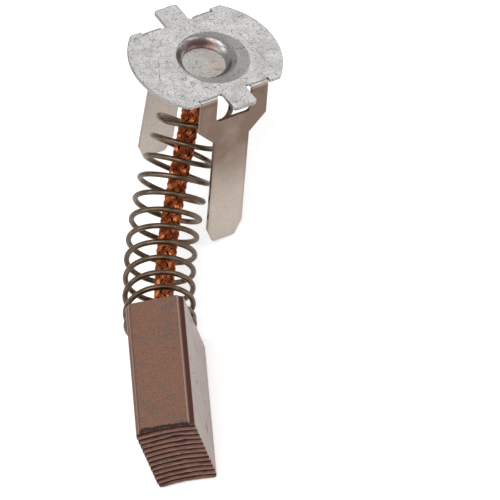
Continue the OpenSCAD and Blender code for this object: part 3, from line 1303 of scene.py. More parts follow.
    def side_rings(self, rim_y: Points, outline: Points, bevel: Points) -> list[Ring]:
        """Rings of the four sides from the contact face to the tail.

        Args:
            rim_y: the y of each point on the border of the contact face.
            outline: x and z of the full section.
            bevel: width of the worn edge at each point.

        Returns:
            The rings.
        """
        places = upright(*outline.T)
        top = self.top_share(outline[:, 1])
        plain = self.side_wear(*outline.T)
        rings = []
        for share in (0.35, 0.7):
            ragged = Grain((3, 1, 3), 40 + share, 3, 0.05).at(places) * (0.3 + top)
            inset = np.clip(bevel * (1 - share) ** 1.3 + ragged * share, 0.0, 0.7)
            inward = moved_left(outline, inset)
            rings.append(Ring(inward, rim_y + share * bevel, 0.5 + 0.2 * (1 - top), top))
        edge_y = rim_y + bevel
        faded_y = edge_y + self.fade_w + np.abs(self.fade_grain.at(places))
        rings += [Ring(outline, edge_y, plain, 0.85 * top), Ring(outline, faded_y, plain, 0.25 * top)]
        start = faded_y + 0.05
        end = self.length / 2 - self.corner
        for share in np.linspace(0, 1, self.body_rings) ** 1.15:
            rings.append(Ring(outline, start + (end - start) * share, plain))
        for angle in np.radians((30, 60)):
            inward = moved_left(outline, self.corner * (1 - math.cos(angle)))
            rings.append(Ring(inward, end + self.corner * math.sin(angle), 0.62))
        return rings

    def tail_rings(self, outline: Points) -> list[Ring]:
        """Rings of the tail face, the hole's mouth, its wall and its floor, with painted shade down the
        hole.

        Args:
            outline: x and z of the full section.

        Returns:
            The rings.
        """
        centre = np.array([0, self.depth / 2])
        edge = moved_left(outline, self.corner)
        spoke = unit(edge - centre)
        tail_y = self.length / 2
        rim = centre + spoke * (self.hole_r + self.mouth)
        shares = np.linspace(0, 1, self.tail_steps)
        rings = [Ring(edge + (rim - edge) * share, tail_y, self.plain_wear) for share in shares]
        # Lighter on the mouth's lip, then lower wear down the wall to the floor: painted shade in the
        # hole.
        for radius, drop, wear in (
            (self.hole_r + 0.2 * self.mouth, 0.8 * self.mouth, 0.7),
            (self.hole_r, self.mouth, 0.4),
            (self.hole_r, 0.5 * self.hole_depth, 0.2),
            (self.hole_r, self.hole_depth, 0.1),
            (0.4, self.hole_depth, 0.1),
        ):
            rings.append(Ring(centre + spoke * radius, tail_y - drop, wear))
        return rings

    def dress(self, piece: bpy.types.Object) -> None:
        """Gives the block its finish and its place in the frame."""
        settle(piece, self.finish.material(), "carbon_block")
        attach(piece, Body.BLOCK.value)


@dataclass
class TampedPlug:
    """Ring of tamped powder between the shunt and its hole, with a rough dished top."""

    tail_y: float = 9
    axis_z: float = 6.25
    sink: float = 0.4
    inner_r: float = 1.15
    outer_r: float = 1.83
    floor_y: float = 3.02
    slope: float = 0.25
    shoulder: float = 0.3
    top_rings: int = 9
    sides: int = 120
    lumps: Grain = Grain(2.2, 6, 4, 0.09)
    finish: TampedPowder = field(default_factory=TampedPowder)

    def build(self) -> bpy.types.Object:
        """Turns the ring's section about the hole's axis and roughens its top.

        Returns:
            The plug.
        """
        top = self.tail_y - self.sink
        radii = np.linspace(self.inner_r, self.outer_r, self.top_rings)
        section = [(self.inner_r, self.floor_y), (self.inner_r, top - self.shoulder)]
        section += [(r, top - self.slope * (self.outer_r - r)) for r in radii]
        section += [(self.outer_r, self.floor_y)]
        angle = 2 * math.pi * np.arange(self.sides) / self.sides
        circle = np.column_stack([np.cos(angle), np.sin(angle)])
        rings = [Ring(radius * circle, y).points() for radius, y in section]
        for ring in rings[2:-1]:
            ring[:, 1] -= np.abs(self.lumps.at(ring))
        last = (len(section) - 1) * self.sides
        faces = ring_faces(len(section), self.sides)
        for k in range(self.sides):
            ahead = (k + 1) % self.sides
            faces.append((last + k, last + ahead, ahead, k))
        points = np.vstack(rings) + np.array([0, 0, self.axis_z])
        return make_piece("tamped_powder_ring", points, faces, crease=60)

    def dress(self, piece: bpy.types.Object) -> None:
        """Gives the plug its finish and its place in the frame."""
        settle(piece, self.finish.material(), "tamping_plug")
        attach(piece, Body.BLOCK.value)


def blend_along(piece: bpy.types.Object) -> None:
    """Bakes a piece's place into its mesh."""
    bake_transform(piece)


@dataclass
class CoilSpring:
    """Round wire wound round the spring's line, closed at both ends."""

    rest: RestPose
    wire_d: float = 0.65
    outer_d: float = 8.6
    pitch: float = 2.41
    closed_tail: float = 1
    closed_cap: float = 1.75
    cap_pitch: float = 7.85
    cap_run: float = 8.6
    seat_gap: float = 0.02
    start_phase: float = -31.7
    route: Route = Route(
        (-0.6, 9, 6.1), (0.5, 0.77, -0.65), 1.5, 1.6, 20, 9.84, 7.36, middle=((8.15, 33.05, 14.65),)
    )
    cut_share: float = 0.86
    rings_per_turn: int = 60
    sides: int = 16
    finish: DrawnSteel = field(default_factory=DrawnSteel)

    def wire_line(self) -> tuple[Points, Points]:
        """Winds the wire's centre round the spring's line, from the tail to the cap.

        Returns:
            Its points, and at each of them the direction away from the spring's line.
        """
        line = CurvedLine(self.route, self.rest)
        closed = self.wire_d + self.seat_gap
        tail_rise = self.closed_tail * closed
        cap_rise = self.closed_cap * closed
        open_rise = line.total - self.wire_d - tail_rise - cap_rise - 2 * self.seat_gap
        even = open_rise - self.cap_run
        wide_turns = self.cap_run / self.cap_pitch
        marks = np.cumsum([0, self.closed_tail, even / self.pitch, wide_turns, self.closed_cap])
        rises = np.cumsum([self.wire_d / 2 + self.seat_gap, tail_rise, even, self.cap_run, cap_rise])
        turns = np.linspace(0, marks[-1], int(marks[-1] * self.rings_per_turn) + 1)
        s = np.interp(turns, marks, rises)
        u, v = line.across(s)
        angle = np.radians(self.start_phase + 360 * turns)[:, None]
        out = np.cos(angle) * u + np.sin(angle) * v
        return line.at(s) + (self.outer_d - self.wire_d) / 2 * out, out

    def build(self) -> bpy.types.Object:
        """Sweeps the wire, with cut ends, and writes its UV map along and round it.

        Returns:
            The spring.
        """
        centre, out = self.wire_line()
        radius = np.full(len(centre), self.wire_d / 2)
        radius[[0, -1]] *= self.cut_share
        points = wire_tube(centre, out, radius, self.sides)
        faces = tube_faces(len(centre), self.sides)
        piece = make_piece("coil_spring_wire", points, faces, crease=50)
        self.write_wire_uv(piece.data, run_along(centre))
        return piece

    def write_wire_uv(self, mesh: bpy.types.Mesh, run: Points) -> None:
        """Writes the length along the wire and the way round it, both in millimetres.

        Args:
            mesh: the wire's mesh.
            run: the running length of each ring.
        """
        layer = mesh.uv_layers.new(name="along")
        girth = math.pi * self.wire_d
        values = np.zeros((len(mesh.loops), 2), np.float32)
        for face in mesh.polygons:
            sides = [v % self.sides for v in face.vertices]
            wraps = len(sides) == 4 and max(sides) - min(sides) > 1
            for loop, vertex, side in zip(face.loop_indices, face.vertices, sides):
                turn = side + self.sides if wraps and side == 0 else side
                values[loop] = run[vertex // self.sides], girth * turn / self.sides
        layer.data.foreach_set("uv", values.ravel())

    def dress(self, piece: bpy.types.Object) -> None:
        """Gives the spring its finish and bakes its place into its mesh."""
        settle(piece, self.finish.material(), "coil_spring")
        blend_along(piece)


@dataclass
class BraidedShunt:
    """Two sets of strands of fine wire that cross over and under each other round a core dark with
    painted shade.
    """

    rest: RestPose
    outer_d: float = 2.2
    proud: float = 0.11
    wire_d: float = 0.14
    carriers: int = 8
    wires: int = 4
    lay: float = 12
    wave: float = 0.1
    buried: float = 5.7
    fused_l: Pair = (1, 0.2)
    fused_swell: float = 0.03
    swell: Grain = Grain((0.6, 1), 12, size=0.05)
    drift: float = 0.09
    core_gap: float = 0.02
    step: float = 0.17
    wire_sides: int = 5
    core_sides: int = 20
    seed: int = 5
    route: Route = Route((0, 9, 6.25), (-0.4, 0.35, -1.57), 0.8, 1.2, 12.2, 11.8, 4)
    finish: CopperWire = field(default_factory=CopperWire)

    @property
    def mid_r(self) -> float:
        """Middle radius of the weave."""
        return self.outer_d / 2 - self.wave - self.wire_d / 2 + self.proud

    def build(self) -> bpy.types.Object:
        """Lays every wire of the braid along the shunt's line, and the core inside them.

        Returns:
            The shunt.
        """
        line = CurvedLine(self.route, self.rest)
        s = np.append(np.arange(-self.buried, line.total, self.step), line.total - 0.01)
        u, v = line.across(s)
        centre = line.at(s)
        fused = smooth_step(*(line.total - length for length in self.fused_l), s)
        lengths = np.column_stack([s, 0 * s])
        swell = 1 + self.swell.at(lengths)
        chance = np.random.default_rng(self.seed)
        points, faces, wears, tones = [], [], [], []
        count = 0
        for turn, carrier in product((1, -1), range(self.carriers)):
            strand_tone = chance.uniform(0.35, 1)
            drift = Grain((0.5, 1), 7.0 * carrier + 40 * turn, size=self.drift).at(lengths)
            for wire in range(self.wires):
                track = self.wire_track(s, turn, carrier, wire, chance.uniform(0, 100))
                angle, radius, crest = track
                angle = (angle + drift)[:, None]
                radius = radius * swell * (1 - fused) + (self.mid_r + self.fused_swell) * fused
                out = radius[:, None] * (np.cos(angle) * u + np.sin(angle) * v)
                points.append(wire_tube(centre + out, out, self.wire_d / 2, self.wire_sides))
                faces += tube_faces(len(s), self.wire_sides, count)
                count += len(points[-1])
                # Low where the wire dips under others, which the finish paints in shade.
                wears.append(np.repeat(crest * (1 - 0.6 * fused), self.wire_sides))
                tone = np.clip(strand_tone * chance.uniform(0.4, 1.15), 0.05, 1)
                tones.append(np.full(len(points[-1]), tone))
        # Core under the weave, dark with painted shade, seen through the gaps.
        keep = np.append(np.arange(0, len(s) - 1, 3), len(s) - 1)
        core_r = self.mid_r - self.wave - self.core_gap
        points.append(tube(centre[keep], u[keep], v[keep], core_r, self.core_sides))
        faces += tube_faces(len(keep), self.core_sides, count)
        dark = np.zeros(len(points[-1]))
        return make_piece(
            "braided_shunt_wires",
            np.vstack(points),
            faces,
            crease=70,
            wear=np.concatenate([*wears, dark]),
            tone=np.concatenate([*tones, dark]),
        )

    def wire_track(
        self, s: Points, turn: int, carrier: int, wire: int, seed: float
    ) -> tuple[Points, Points, Points]:
        """Path of one wire round the shunt's line.

        Args:
            s: running lengths.
            turn: 1 for the strands wound one way, -1 for those wound the other way.
            carrier: number of the strand in its set.
            wire: number of the wire in its strand.
            seed: picks the wire's own small wander.

        Returns:
            Its angle, its radius and how much it is on a crest, at each length.
        """
        around = 2 * math.pi * s / self.lay
        slope = math.atan(2 * math.pi * self.mid_r / self.lay)
        places = np.column_stack([s, np.full(len(s), seed)])
        beside = (wire - (self.wires - 1) / 2) * self.wire_d * 1.02
        beside = beside * (1 + Grain((0.7, 1), 3, size=0.15).at(places))
        beside += Grain((0.9, 1), 11, 3, 0.05).at(places)
        angle = 2 * math.pi * carrier / self.carriers + turn * around
        angle += beside / (self.mid_r * math.cos(slope))
        over = turn * np.cos(self.carriers * around)
        radius = self.mid_r + self.wave * over + Grain((1.3, 1), 23, size=0.03).at(places)
        return angle, radius, 0.5 + 0.5 * over

    def dress(self, piece: bpy.types.Object) -> None:
        """Gives the shunt its finish and bakes its place into its mesh."""
        settle(piece, self.finish.material(), "braided_shunt")
        blend_along(piece)


def arc(centre: Pair, radius: float, start: float, end: float, step: float = 15) -> list[Points]:
    """Draws an arc.

    Args:
        centre: its centre.
        radius: its radius.
        start: angle of its first point, in degrees.
        end: angle of its last point.
        step: angle between two points, about.

    Returns:
        Its points.
    """
    count = max(2, int(abs(end - start) / step) + 1)
    angles = np.radians(np.linspace(start, end, count))
    x, y = centre
    return [np.array([x + radius * math.cos(a), y + radius * math.sin(a)]) for a in angles]


def fine_loop(corners: Sequence[Points], step: float) -> Points:
    """Closes a path and adds points to it.

    Args:
        corners: points of the path.
        step: the longest gap that is left.

    Returns:
        Points of the loop.
    """
    points = []
    for a, b in zip(corners, [*corners[1:], corners[0]]):
        count = max(1, math.ceil(float(np.linalg.norm(b - a)) / step))
        points += [a + (b - a) * k / count for k in range(count)]
    return np.array(points)


def inside(points: Points, loop: Points) -> Points:
    """Tests points against a closed loop.

    Args:
        points: places in the plane.
        loop: points of the loop.

    Returns:
        True for each place inside it.
    """
    x, y = points.T
    result = np.zeros(len(points), bool)
    for (ax, ay), (bx, by) in zip(loop, np.roll(loop, -1, axis=0)):
        if ay == by:
            continue
        crosses = (ay > y) != (by > y)
        result ^= crosses & (x < ax + (y - ay) * (bx - ax) / (by - ay))
    return result


def on_blank(points: Points, loops: Sequence[Points]) -> Points:
    """Tests points against the blank: inside its outer edge and outside the gaps round the tabs."""
    outer, *gaps = (inside(points, loop) for loop in loops)
    return outer & ~gaps[0] & ~gaps[1]


@dataclass
class EndCap:
    """Stamped sheet: a dimpled disc with two chords, each with a leg bent down and a flat tab.

    Its blank is drawn flat, with x along the chords and the running length of the sheet across
    them, and is then folded. The places of its marks are on the blank. A stain's pair is its
    plain share and what is added to it where the stain is deepest.
    """

    rest: RestPose
    sheet_t: float = 0.4
    disc_r: float = 9.15
    chord_y: float = 6.75
    bend_r: float = 0.2
    root_w: float = 9.2
    strip_w: float = 4.8
    leg_l: float = 22.2
    foot_l: float = 4.7
    tip_h: float = 2
    tip_inset: float = 0.75
    tip_r: float = 0.35
    near_splay: float = 5
    far_splay: float = 2
    window_w: float = 4.7
    window_h: float = 3.7
    corner_r: float = 0.5
    tab_w: float = 3.2
    tab_l: float = 2.4
    relief_w: float = 0.15
    dish_centre: Pair = (0.7, -0.6)
    dish_r: float = 4.4
    dish_h: float = 0.37
    pocket_r: float = 2.82
    pocket_floor_r: float = 2.57
    pocket_depth: float = 1.15
    pocket_crown: float = 0.05
    pocket_blend: Pair = (0.1, 0.7)
    under_spread: float = 0.27
    floor_grain: Grain = Grain(1.6, 4, 3, 0.012)
    sheet_wave: Grain = Grain(0.3, 15, size=0.02)
    pocket_rings: tuple[float, ...] = (0.0, 0.3, 0.6, 0.9, 1.2, 1.5, 1.8, 2.05, 2.25)
    wall_rings: Triple = (2.38, 3.2, 0.045)
    dish_rings: tuple[float, ...] = (0.14, 0.3, 0.46, 0.6, 0.72, 0.82, 0.9, 0.96, 1)
    rim_rings: tuple[float, ...] = (0.06, 0.14, 0.24, 0.36, 0.5)
    ring_step: float = 0.13
    step: float = 0.3
    edge_step: float = 0.2
    edge_gap: float = 0.17
    bend_margin: float = 0.12
    bend_rows: int = 10
    bend_step: float = 0.24
    bevel: float = 0.05
    clouds: Grain = Grain(0.35, 2, 3, 0.5)
    leg_start: Fade = Fade(0.15, 0.7)
    # Near leg browner towards its top: tarnish with painted shade and a painted reflection of the brown
    # brush.
    near_tarnish_and_shade: Fade = Fade(24, 13, 0.36, 0.96)
    far_tarnish: float = 0.25
    cloudy_tarnish: Pair = (0.85, 0.3)
    near_under_tarnish: Pair = (0.35, 0.3)
    far_under_tarnish: Pair = (0.26, 0.06)
    smudges: tuple[Spot, ...] = (Spot((3.3, -12), (1.2, 2.2), 0.5), Spot((3.6, -9), (0.9, 0.8), 0.5))
    rubs: tuple[Spot, ...] = (
        Spot((3.9, -7.6), (0.5, 0.4), 0.45),
        Spot((-4.2, -10.6), (0.25, 0.25), 0.45),
    )
    # Darker along the lower leg's side edges.
    dark_leg_edge: Fade = Fade(0.3, 0.05, 0, 0.2)
    dark_edge_from: float = 13
    # Painted reflection: a dark band just below the near leg's bend.
    bend_dark_reflection: Spot = Spot((0.8,), 0.3, 0.45)
    weld_heat: Fade = Fade(3.4, 2.2, 0, 0.7)
    # Pocket wall red brown, with painted shade and reflection deepest in a crescent on its far side.
    crescent_toward: float = 70
    crescent: Fade = Fade(0.5, 0.9)
    wall_start: Fade = Fade(2.35, 2.6)
    wall_brown_and_shade: Pair = (0.12, 0.76)
    floor_end: Fade = Fade(2.6, 2.3)
    # Painted reflection of the brown block on the pocket floor's lower side.
    floor_reflection: Fade = Fade(-1.5, 2.0, 0.02, 0.16)
    floor_dull: float = 0.24
    shear: Fade = Fade(8.5, 11, 0.1, 0.45)
    finish: TinnedSheet = field(default_factory=TinnedSheet)

    @property
    def outer_r(self) -> float:
        """Outer radius of the leg bends."""
        return self.bend_r + self.sheet_t

    @property
    def mid_r(self) -> float:
        """Radius of the bends at the middle of the sheet."""
        return self.bend_r + self.sheet_t / 2

    @property
    def bend_y(self) -> float:
        """Where the bends start."""
        return self.chord_y - self.outer_r

    def splay(self, side: Points | int) -> Points:
        """Splay of the leg on one side, in radians; the far leg's side is positive."""
        return np.radians(np.where(np.asarray(side) > 0, self.far_splay, self.near_splay))

    def run_at(self, z: float, side: int) -> float:
        """Finds a height on a leg.

        Args:
            z: the height, below the disc's outer face.
            side: 1 for the far leg and -1 for the near one.

        Returns:
            Running length of the sheet where the leg reaches it.
        """
        splay = float(self.splay(side))
        bend = self.mid_r * (math.pi / 2 - splay)
        leg = (self.mid_r * math.sin(splay) - self.outer_r - z) / math.cos(splay)
        return self.bend_y + bend + leg

    def half_outline(self, side: int) -> list[Points]:
        """Draws the outline of a leg.

        Args:
            side: 1 for the far leg and -1 for the near one.

        Returns:
            Points from the right-hand chord corner over the leg to the left-hand one.
        """
        root, strip = self.root_w / 2, self.strip_w / 2
        chord_x = math.sqrt(self.disc_r**2 - self.chord_y**2)
        shoulder = -self.foot_l - (root - strip)
        tip_x = strip - self.tip_inset - self.tip_r
        low = self.run_at(-self.leg_l + self.tip_r, side)
        corners = [
            (chord_x, self.chord_y),
            (root + self.relief_w, self.chord_y),
            (root + self.relief_w, self.bend_y),
            (root, self.bend_y),
            (root, self.run_at(-self.foot_l, side)),
            (strip, self.run_at(shoulder, side)),
            (strip, self.run_at(-self.leg_l + self.tip_h, side)),
        ]
        right = [np.array(corner) for corner in corners] + arc((tip_x, low), self.tip_r, 0, 90, 18)
        return right + [point * np.array([-1, 1]) for point in reversed(right)]

    def outline(self) -> Points:
        """Draws the outer edge of the blank.

        Returns:
            Its points, counter-clockwise.
        """
        corner = math.degrees(math.asin(self.chord_y / self.disc_r))
        far = self.half_outline(1)
        near = [-point for point in self.half_outline(-1)]
        left = arc((0, 0), self.disc_r, 180 - corner, 180 + corner, 1.5)[1:-1]
        right = arc((0, 0), self.disc_r, -corner, corner, 1.5)[1:-1]
        return fine_loop(far + left + near + right, self.edge_step)

    def slot_loop(self, side: int) -> Points:
        """Draws the gap round a tab: the window less the tab.

        Args:
            side: 1 for the far leg's tab and -1 for the near one's.

        Returns:
            Its points, clockwise.
        """
        tab, window = self.tab_w / 2, self.window_w / 2
        r = self.corner_r
        slot_r = (window - tab) / 2
        slot_x = tab + slot_r
        slot_y = self.bend_y + slot_r
        tab_end = self.chord_y + self.tab_l
        low = self.run_at(-self.window_h, side)
        path = arc((slot_x, slot_y), slot_r, 180, 360, 20)
        path += arc((window - r, low - r), r, 0, 90)
        path += arc((r - window, low - r), r, 90, 180)
        path += arc((-slot_x, slot_y), slot_r, 180, 360, 20)
        path += arc((r - tab, tab_end - r), r, 180, 90)
        path += arc((tab - r, tab_end - r), r, 90, 0)
        loop = fine_loop(path, self.edge_step)[::-1]
        return loop if side > 0 else -loop

    def dimple_points(self) -> Points:
        """Lays rings of points over the pocket and the dish, close together where the sheet turns.

        Returns:
            The points.
        """
        dish = np.array(self.dish_centre)
        hub = self.wall_rings[1]
        edge = self.dish_r - 0.02
        rings = [(0 * dish, r) for r in (*self.pocket_rings, *np.arange(*self.wall_rings))]
        rings += [(dish * t, hub + (edge - hub) * t) for t in self.dish_rings]
        rings += [(dish, self.dish_r + more) for more in self.rim_rings]
        points = []
        for number, (centre, radius) in enumerate(rings):
            count = max(1, int(2 * math.pi * radius / self.ring_step))
            angle = 2 * math.pi * (np.arange(count) + 0.5 * (number % 2)) / count
            points.append(centre + radius * np.column_stack([np.cos(angle), np.sin(angle)]))
        return np.vstack(points)

    def fill_points(self, loops: Sequence[Points]) -> Points:
        """Lays the dimple's rings, rows across the bends and an even net elsewhere.

        Args:
            loops: the outer edge and the two gaps, moved in a little.

        Returns:
            The points that lie on the blank and not close to an edge.
        """
        reach = self.run_at(-self.leg_l, -1)
        bend_end = self.run_at(-self.outer_r, -1)
        net = np.array([
            (x + (self.step / 2 if k % 2 else 0), y)
            for k, y in enumerate(np.arange(-reach, reach, self.step * 0.87))
            for x in np.arange(-self.disc_r, self.disc_r, self.step)
        ])
        run = np.abs(net[:, 1])
        from_dish = np.linalg.norm(net - np.array(self.dish_centre), axis=1)
        in_bend = (run > self.bend_y - self.bend_margin) & (run < bend_end + self.bend_margin)
        net = net[(from_dish > self.dish_r + self.rim_rings[-1] + 0.12) & ~in_bend]
        bends = [
            (x, side * y)
            for side in (1, -1)
            for y in np.linspace(self.bend_y, bend_end, self.bend_rows)
            for x in np.arange(-self.root_w / 2, self.root_w / 2, self.bend_step)
        ]
        points = np.vstack([self.dimple_points(), net, np.array(bends)])
        points = points[on_blank(points, loops)]
        edge = np.vstack(loops)
        nearest = [np.min(np.sum((edge - point) ** 2, axis=1)) for point in points]
        return points[np.array(nearest) > self.edge_gap**2]

    def flat_mesh(self, loops: Sequence[Points]) -> tuple[Points, Points, list[Points]]:
        """Fills the blank with triangles.

        Args:
            loops: the outer edge and the two gaps, already moved in by the bevel.

        Returns:
            Flat points, triangles, and the vertex numbers of each loop.
        """
        inner = [moved_left(loop, 0.1) for loop in loops]
        places = np.vstack([*loops, *inner, self.fill_points(inner)])
        edges = []
        spans = []
        first = 0
        for loop in loops:
            numbers = np.arange(first, first + len(loop))
            edges += list(zip(numbers.tolist(), np.roll(numbers, -1).tolist()))
            spans.append(numbers)
            first += len(loop)
        found = delaunay_2d_cdt([Vector(p) for p in places.tolist()], edges, [], 0, 1e-7)
        flat = np.array([tuple(v) for v in found[0]])
        triangles = np.array(found[2])
        taken = {old: new for new, group in enumerate(found[3]) for old in group}
        keep = on_blank(flat[triangles].mean(axis=1), loops)
        return flat, triangles[keep], [np.array([taken[n] for n in numbers]) for numbers in spans]

    def fold(self, flat: Points, lift: float) -> Points:
        """Folds points of the blank into the cap's own frame.

        Args:
            flat: places on the blank.
            lift: height over the middle of the sheet, positive towards its outer face.

        Returns:
            Points in the cap's frame, before the dimple.
        """
        x, across = flat.T
        side = np.where(across >= 0, 1, -1)
        run = np.abs(across)
        splay = self.splay(side)
        turn = math.pi / 2 - splay
        on_tab = (np.abs(x) < (self.tab_w + self.window_w) / 4) & (run < self.chord_y + self.tab_l + 0.3)
        on_disc = (np.abs(x) > self.root_w / 2 + self.relief_w / 2) | (run <= self.bend_y)
        angle = math.pi / 2 - np.clip((run - self.bend_y) / self.mid_r, 0, turn)
        rest = np.maximum(run - self.bend_y - self.mid_r * turn, 0)
        r = self.mid_r + lift
        y = self.bend_y + r * np.cos(angle) + rest * np.sin(splay)
        z = -self.outer_r + r * np.sin(angle) - rest * np.cos(splay)
        stays = on_tab | on_disc
        y = np.where(stays, run, y)
        z = np.where(stays, lift - self.sheet_t / 2, z)
        return np.column_stack([x, side * y, z])

    def dimple(self, flat: Points, under: bool) -> Points:
        """Depth of the dish and the pocket.

        Args:
            flat: places on the blank.
            under: True for the inner face, where the walls stand further out.

        Returns:
            The depth at each place, in millimetres.
        """
        spread = self.under_spread if under else 0.0
        from_pocket = np.linalg.norm(flat, axis=1)
        past_rim = np.maximum(from_pocket - self.pocket_r - spread, 0)
        from_dish = np.linalg.norm(flat - np.array(self.dish_centre), axis=1)
        inward = np.maximum(self.dish_r + spread - from_dish, 0)
        share = inward / np.maximum(inward + past_rim, 1e-6)
        low = self.pocket_floor_r - self.pocket_blend[0] + spread
        high = self.pocket_r + self.pocket_blend[1] + spread
        wall = smooth_step(high, low, from_pocket)
        floor = self.pocket_depth + self.pocket_crown * (1 - np.clip(from_pocket / low, 0, 1) ** 2)
        floor += self.floor_grain.at(flat)
        return self.dish_h * share * (1 - wall) + floor * wall

    def unevenness(self, flat: Points) -> Points:
        """Slight waves of the stamped sheet, in millimetres."""
        return self.sheet_wave.at(flat) * smooth_step(self.disc_r, 0, np.abs(flat[:, 1]))

    def build(self) -> bpy.types.Object:
        """Fills the blank, folds both faces, presses the dimple and joins them round the edges.

        Returns:
            The cap.
        """
        edges = [self.outline(), self.slot_loop(1), self.slot_loop(-1)]
        flat, triangles, spans = self.flat_mesh([moved_left(edge, self.bevel) for edge in edges])
        half = self.sheet_t / 2
        wave = self.unevenness(flat)
        points = [self.fold(flat, half), self.fold(flat, -half)]
        for face, under in zip(points, (False, True)):
            face[:, 2] += wave - self.dimple(flat, under)
        places = [flat, flat]
        count = len(flat)
        faces = triangles.tolist() + (triangles[:, ::-1] + count).tolist()
        first = 2 * count
        for edge, span in zip(edges, spans):
            rows = [span]
            for back, drop, face in ((0.3, 0.3, 1), (0, 1, 1), (0, 1, -1), (0.3, 0.3, -1)):
                ring = moved_left(edge, back * self.bevel)
                folded = self.fold(ring, face * (half - drop * self.bevel))
                folded[:, 2] += wave[span]
                points.append(folded)
                places.append(ring)
                rows.append(np.arange(first, first + len(ring)))
                first += len(ring)
            rows.append(span + count)
            for upper, lower in zip(rows, rows[1:]):
                ahead = np.roll(upper, -1), np.roll(lower, -1)
                faces += np.column_stack([upper, lower, ahead[1], ahead[0]]).tolist()
        places = np.vstack(places)
        layers = self.layers(places, count)
        placed = self.rest.place(np.vstack(points))
        piece = make_piece("end_cap_sheet", placed, faces, crease=60, **layers)
        write_uv(piece.data, "flat", places)
        return piece

    def leg_share(self, flat: Points) -> Points:
        """Finds the legs.

        Args:
            flat: places on the blank.

        Returns:
            1 on a leg and 0 on the disc and the tabs.
        """
        across, run = np.abs(flat).T
        on_tab = (across < self.tab_w / 2 + 0.37) & (run < self.chord_y + self.tab_l + 0.35)
        beside = across >= self.root_w / 2 + 0.05
        return self.leg_start.of(run - self.bend_y) * ~(on_tab | beside)

    def pocket_marks(self, flat: Points) -> tuple[Points, Points, Points]:
        """Finds the pocket's floor, its stains, and its painted shade and reflection.

        Args:
            flat: places on the blank.

        Returns:
            The floor's share, the painted reflection on the floor, and that reflection with the red
            brown of the wall, which has painted shade and reflection deepest in a crescent on one side.
        """
        radius = np.linalg.norm(flat, axis=1)
        toward = math.radians(self.crescent_toward)
        far_side = flat @ np.array([math.cos(toward), math.sin(toward)]) / (radius + 0.01)
        # Crescent of painted shade and reflection on the far wall.
        crescent = self.crescent.of(far_side)
        wall = self.wall_start.of(radius)
        wall *= smooth_step(3.2 + 0.4 * crescent, 2.85 + 0.15 * crescent, radius)
        floor = self.floor_end.of(radius)
        # Painted reflection of the brown block on the floor's lower side.
        stain_and_reflection = floor * self.floor_reflection.of(flat[:, 0] - 0.6 * flat[:, 1])
        plain, more = self.wall_brown_and_shade
        return floor, stain_and_reflection, wall * (plain + more * crescent) + stain_and_reflection

    def layers(self, flat: Points, count: int) -> dict[str, Points]:
        """Layers that the finish reads.

        Args:
            flat: places on the blank, outer face first, then inner face, then edges.
            count: number of points on each face.

        Returns:
            Tarnish with painted shade and reflection, browned with painted shade and reflection, dull
            and shear for each point.
        """
        across, run = np.abs(flat).T
        near = flat[:, 1] < 0
        number = np.arange(len(flat))
        under = (number >= count) & (number < 2 * count)
        leg = self.leg_share(flat)
        floor, floor_reflection, stain_and_reflection = self.pocket_marks(flat)
        cloudy = 0.5 + self.clouds.at(flat)
        outer_cloud, near_cloud, far_cloud = (
            plain + more * cloudy
            for plain, more in (self.cloudy_tarnish, self.near_under_tarnish, self.far_under_tarnish)
        )
        # Near leg browner towards its top: tarnish with painted shade and a painted reflection of the
        # brown brush.
        outer = leg * np.where(near, self.near_tarnish_and_shade.of(run), self.far_tarnish) * outer_cloud
        outer += leg * near * spotted(flat, self.smudges)
        tarnish_and_painted_light = np.where(under, np.where(near, near_cloud, far_cloud), outer + floor_reflection)
        browned_and_painted_shade = np.where(under, self.weld_heat.of(np.linalg.norm(flat, axis=1)), stain_and_reflection)
        # Painted reflection: a dark band below the near leg's bend.
        browned_and_painted_shade += near * leg * spotted(run[:, None] - self.bend_y, (self.bend_dark_reflection,))
        # Darker along the lower leg's side edges.
        edge = self.dark_leg_edge.of(self.strip_w / 2 - across) * (run > self.dark_edge_from)
        dull = self.floor_dull * floor + near * leg * (spotted(flat, self.rubs) + edge)
        shear = (number >= 2 * count) * self.shear.of(run)
        tarnish_and_painted_light, browned_and_painted_shade = np.clip(tarnish_and_painted_light, 0, 1), np.clip(browned_and_painted_shade, 0, 1)
        return {"tarnish_and_painted_light": tarnish_and_painted_light, "browned_and_painted_shade": browned_and_painted_shade, "dull": dull, "shear": shear}

    def dress(self, piece: bpy.types.Object) -> None:
        """Gives the cap its finish and its place in the frame."""
        settle(piece, self.finish.material(self.rest), "end_cap")
        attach(piece, Body.CAP.value)


# Studio


def back_toward(azimuth: float, elevation: float) -> Vector:
    """Returns the direction from the object to a place, by two angles in degrees."""
    a, e = math.radians(azimuth), math.radians(elevation)
    return Vector((math.sin(a) * math.cos(e), -math.cos(a) * math.cos(e), math.sin(e)))


@dataclass(frozen=True)
class Camera:
    """Long lens above the right-hand side of the object, rolled a little."""

    azimuth: float = 13.8127
    elevation: float = 54.6203
    roll: float = -22.32
    distance: float = 815.48
    target: Triple = (11.1355, 16.2390, 8.0)
    lens: float = 503.45
    sensor: float = 36
    clip: Pair = (0.05, 20)

    def build(self) -> None:
        """Makes the camera and hands it to the scene."""
        azimuth, roll = math.radians(self.azimuth), math.radians(self.roll)
        back = back_toward(self.azimuth, self.elevation)
        level = Vector((math.cos(azimuth), math.sin(azimuth), 0))
        right = level * math.cos(roll) + back.cross(level) * math.sin(roll)
        turn = Matrix((right, back.cross(right), back)).transposed().to_4x4()
        data = bpy.data.cameras.new("camera")
        data.lens = self.lens
        data.sensor_width = self.sensor
        data.sensor_fit = "HORIZONTAL"
        data.clip_start, data.clip_end = self.clip
        camera = bpy.data.objects.new("camera", data)
        place = (Vector(self.target) + back * self.distance) * MM
        camera.matrix_world = Matrix.Translation(place) @ turn
        bpy.context.scene.collection.objects.link(camera)
        bpy.context.scene.camera = camera


